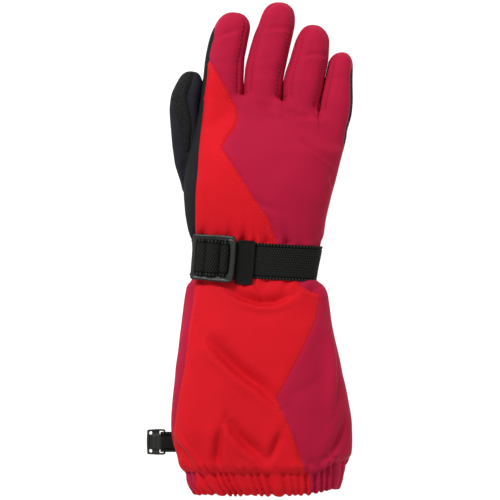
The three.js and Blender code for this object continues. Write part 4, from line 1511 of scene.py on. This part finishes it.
def strap_band(name, from_turn, to_turn, lift=STRAP_LIFT, width=STRAP_WIDTH, thickness=STRAP_THICKNESS,
               sink=None, plain=False):
    """Webbing round the wrist between two turns of its section; sink says how much lower it lies at an x."""
    turns = np.arange(from_turn, to_turn, TURN_STEP)
    picks = np.round(turns * TURN_POINTS).astype(int) % TURN_POINTS
    v = np.linspace(-width / 2, width / 2, int(width / WEAVE_STEP) + 1)
    outer = np.zeros((len(turns), len(v), 3))
    inner = np.zeros_like(outer)
    face = np.zeros((len(turns), len(v)))
    lengths = None
    for j, across in enumerate(v):
        x, z = np.array(section(smooth(TRUNK, [STRAP_LEVEL + across])[0], TURN_POINTS))[:, picks]
        if lengths is None:
            lengths = np.concatenate([[0], np.cumsum(np.hypot(np.diff(x), np.diff(z)))])
        dx, dz = np.gradient(x), np.gradient(z)
        size = np.maximum(np.hypot(dx, dz), 1e-9)
        out_x, out_z = -dz / size, dx / size
        drop = 0 if sink is None else sink(x)
        if not plain:
            face[:, j] = weave(lengths, across, width)
        relief = 0 if plain else WEAVE_HEIGHT * (face[:, j] - WEAVE_MEAN)
        y = strap_middle(x) + across
        far = lift + thickness + relief - drop
        near = lift - relief - drop
        outer[:, j] = np.column_stack([x + out_x * far, y, z + out_z * far])
        inner[:, j] = np.column_stack([x + out_x * near, y, np.maximum(z + out_z * near, 0.05)])
    return grid_solid(name, outer, inner, relief=None if plain else face)


def turn_over(x):
    """The turn at which the wrist's upper side passes over x."""
    left, right = smooth(TRUNK, [STRAP_LEVEL])[0][:2]
    across = ((left + right) / 2 - x) / ((right - left) / 2)
    return math.acos(math.copysign(abs(across) ** (ROUND_TOP / 2), across)) / (2 * math.pi)


def under_plate(x):
    """How much lower the strap lies where it goes under the plate and the buckle."""
    return 1.3 * (1 - ease(2, 9, x))


def make_strap():
    strap = strap_band("wrist_webbing_weave", turn_over(-3), 0.676, sink=under_plate)
    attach(finish_piece(strap, "webbing", "wrist_webbing"), "cuff")
    adjuster = strap_band("adjuster_webbing_weave", 0.864, 1.035)
    finish_piece(adjuster, "webbing", "adjuster_webbing")
    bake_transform(adjuster)
    base = strap_band("strap_base_cloth", turn_over(-35), turn_over(1), lift=0.15, width=STRAP_WIDTH + 3,
                      thickness=0.9, plain=True)
    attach(finish_piece(base, "black_softshell"), "cuff")
    patch = strap_band("strap_anchor_patch_cloth", 0.68, 0.86, width=STRAP_WIDTH + 5, plain=True)
    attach(finish_piece(patch, "palm_leather", "strap_anchor_patch"), "cuff")


make_strap()


# ---- Mouldings: joined bars with their edges rounded off ----

def prism(outline, low, high):
    """A closed prism over an outline of [x, y] points, anticlockwise, from z low to z high."""
    count = len(outline)
    verts = [(x, y, low) for x, y in outline] + [(x, y, high) for x, y in outline]
    faces = [tuple(range(count))[::-1], tuple(range(count, 2 * count))]
    faces += [(i, (i + 1) % count, (i + 1) % count + count, i + count) for i in range(count)]
    return np.array(verts, float), faces


def bar(left, low, right, high, bottom, top):
    return prism([(left, low), (right, low), (right, high), (left, high)], bottom, top)


def rounded_rectangle(left, low, right, high, radius, steps=6):
    points = []
    corners = [(right - radius, high - radius, 0), (left + radius, high - radius, 90),
               (left + radius, low + radius, 180), (right - radius, low + radius, 270)]
    for x, y, start in corners:
        for angle in np.radians(np.linspace(start, start + 90, steps)):
            points.append((x + radius * math.cos(angle), y + radius * math.sin(angle)))
    return points


def moulding(name, parts, cell, rounds, place):
    obj = remeshed(joined(name, parts), cell)
    relax(obj.data, rounds, 0.5)
    obj.data.transform(place)
    return obj


PIVOT = Vector((-17.8, -6.9, 39.5))
STRAP_SLOPE = math.radians(-4.5)
BUCKLE_TILT = math.radians(18)
HARDWARE = Matrix.Translation(PIVOT) @ Matrix.Rotation(STRAP_SLOPE, 4, "Z")
BUCKLE = HARDWARE @ Matrix.Rotation(-BUCKLE_TILT, 4, "Y")


def bowed_bar(inner, outer, half, bow, bottom, top, steps=14):
    """A bar along Y between -half and half whose middle is pushed out by bow."""
    ys = np.linspace(-half, half, steps)
    push = bow * (1 - (ys / half) ** 2)
    outer_side = [(outer + d, y) for y, d in zip(ys, push)]
    inner_side = [(inner + d, y) for y, d in zip(ys, push)][::-1]
    return prism(outer_side + inner_side, bottom, top)


def make_buckle():
    parts = []
    for sign in (1, -1):
        rail = [(-23.8, 12.0), (-14, 12.2), (-3, 12.6), (4, 12.6), (7.2, 12.4), (6.6, 15.6), (4.6, 16.4),
                (-4, 16.4), (-14, 16), (-22.4, 16), (-23.9, 14.8)]
        lip = [(-23.4, 14.2), (-14, 14.3), (-4, 14.7), (4, 14.7), (6.4, 14), (5.8, 15.4), (-4, 15.8),
               (-14, 15.2), (-22.8, 15.3)]
        corner = [(2.2, 13.6), (4.3, 8.4), (7.8, 8.0), (7.4, 13.6)]
        outlines = [(rail, -1.5, 1.4), (lip, 0, 1.9), (corner, -1.2, 1.9)]
        for outline, low, high in outlines:
            points = [(x, sign * y) for x, y in outline]
            parts.append(prism(points if sign > 0 else points[::-1], low, high))
    parts.append(bar(-23.9, -15, -20.7, 15, -1.5, 1.1))
    parts.append(bar(-23.1, -14.6, -21.3, 14.6, 0, 1.75))
    parts.append(bar(-14.4, -14, -12.2, 14, -1.5, -0.4))
    parts.append(bowed_bar(-0.75, 0.65, 15, 0.5, -1.1, 1.5))
    parts.append(bowed_bar(3.3, 7.0, 14.4, 0.9, -1.5, 1.5))
    parts.append(bowed_bar(4.3, 6.4, 13, 0.9, 0, 2.0))
    buckle = moulding("ladder_lock_buckle_moulding", parts, 0.36, 5, BUCKLE)
    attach(finish_piece(buckle, "black_plastic", "ladder_lock_buckle"), "buckle")
    route = [(-21.2, 0, -2.2), (-20.5, 0, -0.4), (-19.6, 0, 1.0), (-17.8, 0, 2.2), (-15.6, 0, 2.5),
             (-14.3, 0, 1.9), (-13.3, 0, 0.6), (-12.4, 0, 1.8), (-11, 0, 2.8), (-8.6, 0, 3.0), (-6.4, 0, 2.3),
             (-4.8, 0, 0.9), (-4.0, 0, -0.7), (-4.1, 0, -2.2)]
    webbing = ribbon("buckle_webbing_weave", route, STRAP_WIDTH, STRAP_THICKNESS, BUCKLE)
    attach(finish_piece(webbing, "webbing", "buckle_webbing"), "buckle")


def make_plate():
    rim = 0.9
    outline = rounded_rectangle(8.2, -16.9, 20.8, 14.1, 1.6)
    parts = [prism(outline, -2.9, -1.1)]
    parts.append(bar(19.7, -15.6, 20.6, 12.8, -1.6, -0.65))
    for low in (-16.8, 14.0 - rim):
        parts.append(bar(9.4, low, 19.6, low + rim, -1.6, -0.75))
    plate = moulding("strap_tab_plate_moulding", parts, 0.4, 3, HARDWARE)
    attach(finish_piece(plate, "plate_plastic", "strap_tab_plate"), "cuff")
    arc = [(2.6 * math.cos(a), 0, 2.6 * math.sin(a)) for a in np.radians(np.linspace(-70, -330, 14))]
    route = [(8.5, 0, -2.8), (3.4, 0, -2.7)] + arc
    keeper = ribbon("keeper_loop_weave", route, STRAP_WIDTH - 1, 1.0, HARDWARE)
    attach(finish_piece(keeper, "webbing", "keeper_loop"), "cuff")


def make_clip():
    clip_bar = Vector((-60.2, -135.9, 3.4))
    place = Matrix.Translation(clip_bar)
    parts = [bar(-11.4, -5.2, -3.4, 5.2, -1.2, 0.1), bar(-8.8, -8, -3.6, 8, -1.2, 0.1)]
    parts.append(bowed_bar(-10.5, -12.1, 8.6, -0.5, -1.2, 1.2))
    for sign in (1, -1):
        rail = [(-12.2, 7.3), (-4, 7.8), (0.3, 7.7), (0.8, 8.3), (-0.6, 9.0), (-5, 9.1), (-11.4, 8.7),
                (-12.4, 8.0)]
        points = [(x, sign * y) for x, y in rail]
        parts.append(prism(points if sign > 0 else points[::-1], -1.2, 1.2))
        parts.append(bar(-11.2, min(sign * 7.6, sign * 8.6), -9.8, max(sign * 7.6, sign * 8.6), -1.2, 1.2))
    parts.append(bar(-0.6, -8, 0.6, 8, -1.2, 1.2))
    parts.append(prism(rounded_rectangle(-9.2, -5.0, -3.5, 5.0, 1.0), -1, 0.85))
    parts.append(bar(-6.9, -4.4, -6.3, 4.4, 0, 1.15))
    parts.append(bar(-4.2, -5.4, -2.4, 5.4, -1.2, 0.9))
    clip = moulding("pair_clip_moulding", parts, 0.3, 4, place)
    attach(finish_piece(clip, "black_plastic", "pair_clip"), "clip")
    arc = [(2.2 * math.cos(a), 0, 2.2 * math.sin(a)) for a in np.radians(np.linspace(-90, -270, 12))]
    route = [(17, 0, -2.2), (8, 0, -2.2)] + arc + [(5, 0, 2.2), (10.3, 0, 2.2)]
    tab = ribbon("clip_webbing_tab_weave", route, 14.0, 1.2, place)
    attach(finish_piece(tab, "webbing", "clip_webbing_tab"), "cuff")


LABEL_WIDTH = 22
LABEL_LENGTH = 14
LABEL_THICKNESS = 0.35
LABEL_HEM = 1.2
LABEL_PLACE = (8, -140, 6.05)


def make_label():
    """A blank satin label, gently waved, sewn to the lining inside the cuff."""
    across, along = LABEL_WIDTH / 2, LABEL_LENGTH / 2
    u, v = np.meshgrid(np.linspace(-across, across, 34), np.linspace(-along, along, 22), indexing="ij")
    wave = 0.25 * np.sin(u / 3.3) * np.cos(v / 4) + 0.15
    hem = 0.12 * (bell(np.abs(u) - across + LABEL_HEM, 0.4) + bell(np.abs(v) - along + LABEL_HEM, 0.4))
    x, y, z = LABEL_PLACE
    outer = np.dstack([u + x, v + y, z + LABEL_THICKNESS + wave + hem])
    inner = np.dstack([u + x, v + y, z + wave])
    label = grid_solid("care_label_ribbon", outer, inner)
    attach(finish_piece(label, "label", "care_label"), "cuff")


make_buckle()
make_plate()
make_clip()
make_label()


# ---- Stitching: short threads laid on the finished skin ----

SEAM_STARTS = {"index": 107.2, "middle": 108.5, "ring": 102.5, "little": 93.6}  # y of a finger's first stitch
STITCH = 2.3
STITCH_PITCH = 3.1
THREAD = 0.26  # radius of the thread
THREAD_LIFT = 0.08  # height of a stitch's middle above the cloth
THREAD_DIVE = 0.36  # how much lower its ends are
SAMPLE = 0.25  # spacing of the points that a row of stitches is laid out on
ABOVE, UNDER = 120, -60  # heights above the glove and under it, from which stitches are dropped on it


def one_stitch(middle, along, up):
    """Points and faces of one thread whose ends dive into the cloth."""
    side = up.cross(along).normalized()
    rings, sides = 5, 6
    verts, faces = [], []
    for i in range(rings):
        t = i / (rings - 1) * 2 - 1
        radius = THREAD * (1 - 0.5 * t ** 4)
        centre = middle + along * (t * STITCH / 2) + up * (THREAD_LIFT - THREAD_DIVE * t * t)
        for k in range(sides):
            angle = 2 * math.pi * k / sides
            verts.append(centre + side * (radius * math.cos(angle)) + up * (radius * math.sin(angle)))
    for i in range(rings - 1):
        for k in range(sides):
            a, b = i * sides + k, i * sides + (k + 1) % sides
            faces.append((a, b, b + sides, a + sides))
    faces.append(tuple(range(sides))[::-1])
    faces.append(tuple(range((rings - 1) * sides, rings * sides)))
    return verts, faces


class Stitcher:
    """Collects stitches in groups, one piece for each body and thread."""

    def __init__(self, surface):
        self.tree = surface
        self.groups = {}

    def sew(self, path, group_at, from_above=True):
        path = resampled(path, SAMPLE)[0]
        way = Vector((0, 0, -1 if from_above else 1))
        height = ABOVE if from_above else UNDER
        step = round(STITCH_PITCH / SAMPLE)
        for i in range(step // 2, len(path) - 1, step):
            near = (max(0, i - 3), min(len(path) - 1, i + 3), i)
            hits = [self.tree.ray_cast(Vector((*path[k], height)), way) for k in near]
            if any(hit[0] is None for hit in hits):
                continue
            along = (hits[1][0] - hits[0][0]).normalized()
            middle, up = hits[2][:2]
            up = (up - along * up.dot(along)).normalized()
            self.groups.setdefault(group_at(middle), []).append(one_stitch(middle, along, up))


def sew_all():
    """Top stitching beside every visible seam."""
    bm = bmesh.new()
    bm.from_mesh(skin.data)
    stitcher = Stitcher(BVHTree.FromBMesh(bm))
    bm.free()

    def beside(line, ys, offset):
        ys = np.asarray(ys, float)
        slope = line(ys + 0.5) - line(ys - 0.5)
        size = np.sqrt(1 + slope ** 2)
        return np.column_stack([line(ys) + offset / size, ys - offset * slope / size])

    def hand_or(name, thread):
        def group(point):
            past = knuckle_cut(np.array([point[:]]))[0] > 0
            return (name if past else "hand", thread)
        return group

    stitcher.sew(beside(wedge_x, np.arange(8, 133, 1.0), -1.9), hand_or("index", "red_thread"))
    stitcher.sew(beside(strip_x, np.arange(8, 103, 1.0), 1.7), hand_or("index", "red_thread"))
    for name, finger in FINGERS.items():
        ys = np.arange(SEAM_STARTS[name], finger["dome"] + 6, 1.0)
        for side, edge in enumerate(finger_edges(name, ys)[:2]):
            if OUTER_WALLS.get(name) != side:
                inward = (finger["inset"][side] + 1.5) * (1 - 2 * side)
                stitcher.sew(np.column_stack([edge + inward, ys]), hand_or(name, "crimson_thread"))

    def cuff(thread):
        return lambda point: ("cuff", thread)

    stitcher.sew(beside(cuff_arrow_x, np.arange(-154, -23, 1.0), -1.7), cuff("red_thread"))
    stitcher.sew(beside(cuff_left_x, np.arange(-154, -23, 1.0), 1.5), cuff("red_thread"))
    hem_x = np.arange(-44, 65, 1.0)
    hem_line = np.column_stack([hem_x, np.full(len(hem_x), HEM_TOP - 0.4)])
    raised_line = hem_line.copy()
    raised_line[:, 1] += hem_rise(np.column_stack([hem_line, np.full(len(hem_x), 20)]))

    def on_hem(point):
        return ("cuff", "red_thread" if HEM_RED[0] < point[0] < HEM_RED[1] else "crimson_thread")

    stitcher.sew(raised_line, on_hem)
    stitcher.sew(hem_line, cuff("crimson_thread"), from_above=False)
    for (body, thread), stitches in sorted(stitcher.groups.items()):
        verts, faces = [], []
        for stitch_verts, stitch_faces in stitches:
            faces += [tuple(v + len(verts) for v in face) for face in stitch_faces]
            verts += [(x, y, max(z, FLOOR_GAP)) for x, y, z in stitch_verts]
        piece = new_object(f"{body}_stitching_{thread.split('_')[0]}", verts, faces)
        finish_piece(piece, thread)
        if body == "cuff":
            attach(piece, "cuff")
        elif body == "hand":
            on_hand(piece)
        else:
            on_finger(piece, body)


sew_all()
bpy.data.objects.remove(skin)


# ---- Camera, light and floor ----

CAMERA_DISTANCE = 2.48  # from the camera to about the middle of the glove's height, in metres
PICTURE_WIDTH = 0.350  # what the picture shows there, in metres
# Place, diameter in metres and power of each light; all aim at the middle
LIGHTS = {
    "key": ((-0.75, 1.15, 1.2), 0.45, 28),
    "fill": ((1.1, -0.9, 1.7), 1.3, 5),
}
SKY = 0.62
WHITE = (1, 1, 1, 1)


def look_straight_down():
    """Camera straight above the middle of the drawing."""
    camera = bpy.data.cameras.new("camera")
    camera.sensor_width = 36.0
    camera.lens = camera.sensor_width * CAMERA_DISTANCE / PICTURE_WIDTH
    camera.clip_end = 20
    obj = bpy.data.objects.new("camera", camera)
    bpy.context.collection.objects.link(obj)
    obj.location = to_row(0, -0.7, 2500)
    bpy.context.scene.camera = obj


def area_light(name, place, size, power):
    light = bpy.data.lights.new(name, "AREA")
    light.shape = "DISK"
    light.size = size
    light.energy = power
    obj = bpy.data.objects.new(name, light)
    bpy.context.collection.objects.link(obj)
    obj.location = place
    obj.rotation_euler = (-Vector(place)).to_track_quat("-Z", "Y").to_euler()


def studio():
    world = bpy.data.worlds.new("studio")
    world.use_nodes = True
    background = world.node_tree.nodes["Background"]
    background.inputs["Color"].default_value = WHITE
    background.inputs["Strength"].default_value = SKY
    bpy.context.scene.world = world
    bpy.context.scene.view_settings.view_transform = "Standard"
    for name, settings in LIGHTS.items():
        area_light(name, *settings)
    floor = new_object("floor", [(-6, -6, 0), (6, -6, 0), (6, 6, 0), (-6, 6, 0)], [(0, 1, 2, 3)])
    white = Surface("floor", 0.9, 0.5)
    white.set("Base Color", (0.2, 0.2, 0.2, 1))
    white.set("Emission Color", WHITE)
    white.set("Emission Strength", 1.0)
    floor.data.materials.append(white.material)


look_straight_down()
studio()
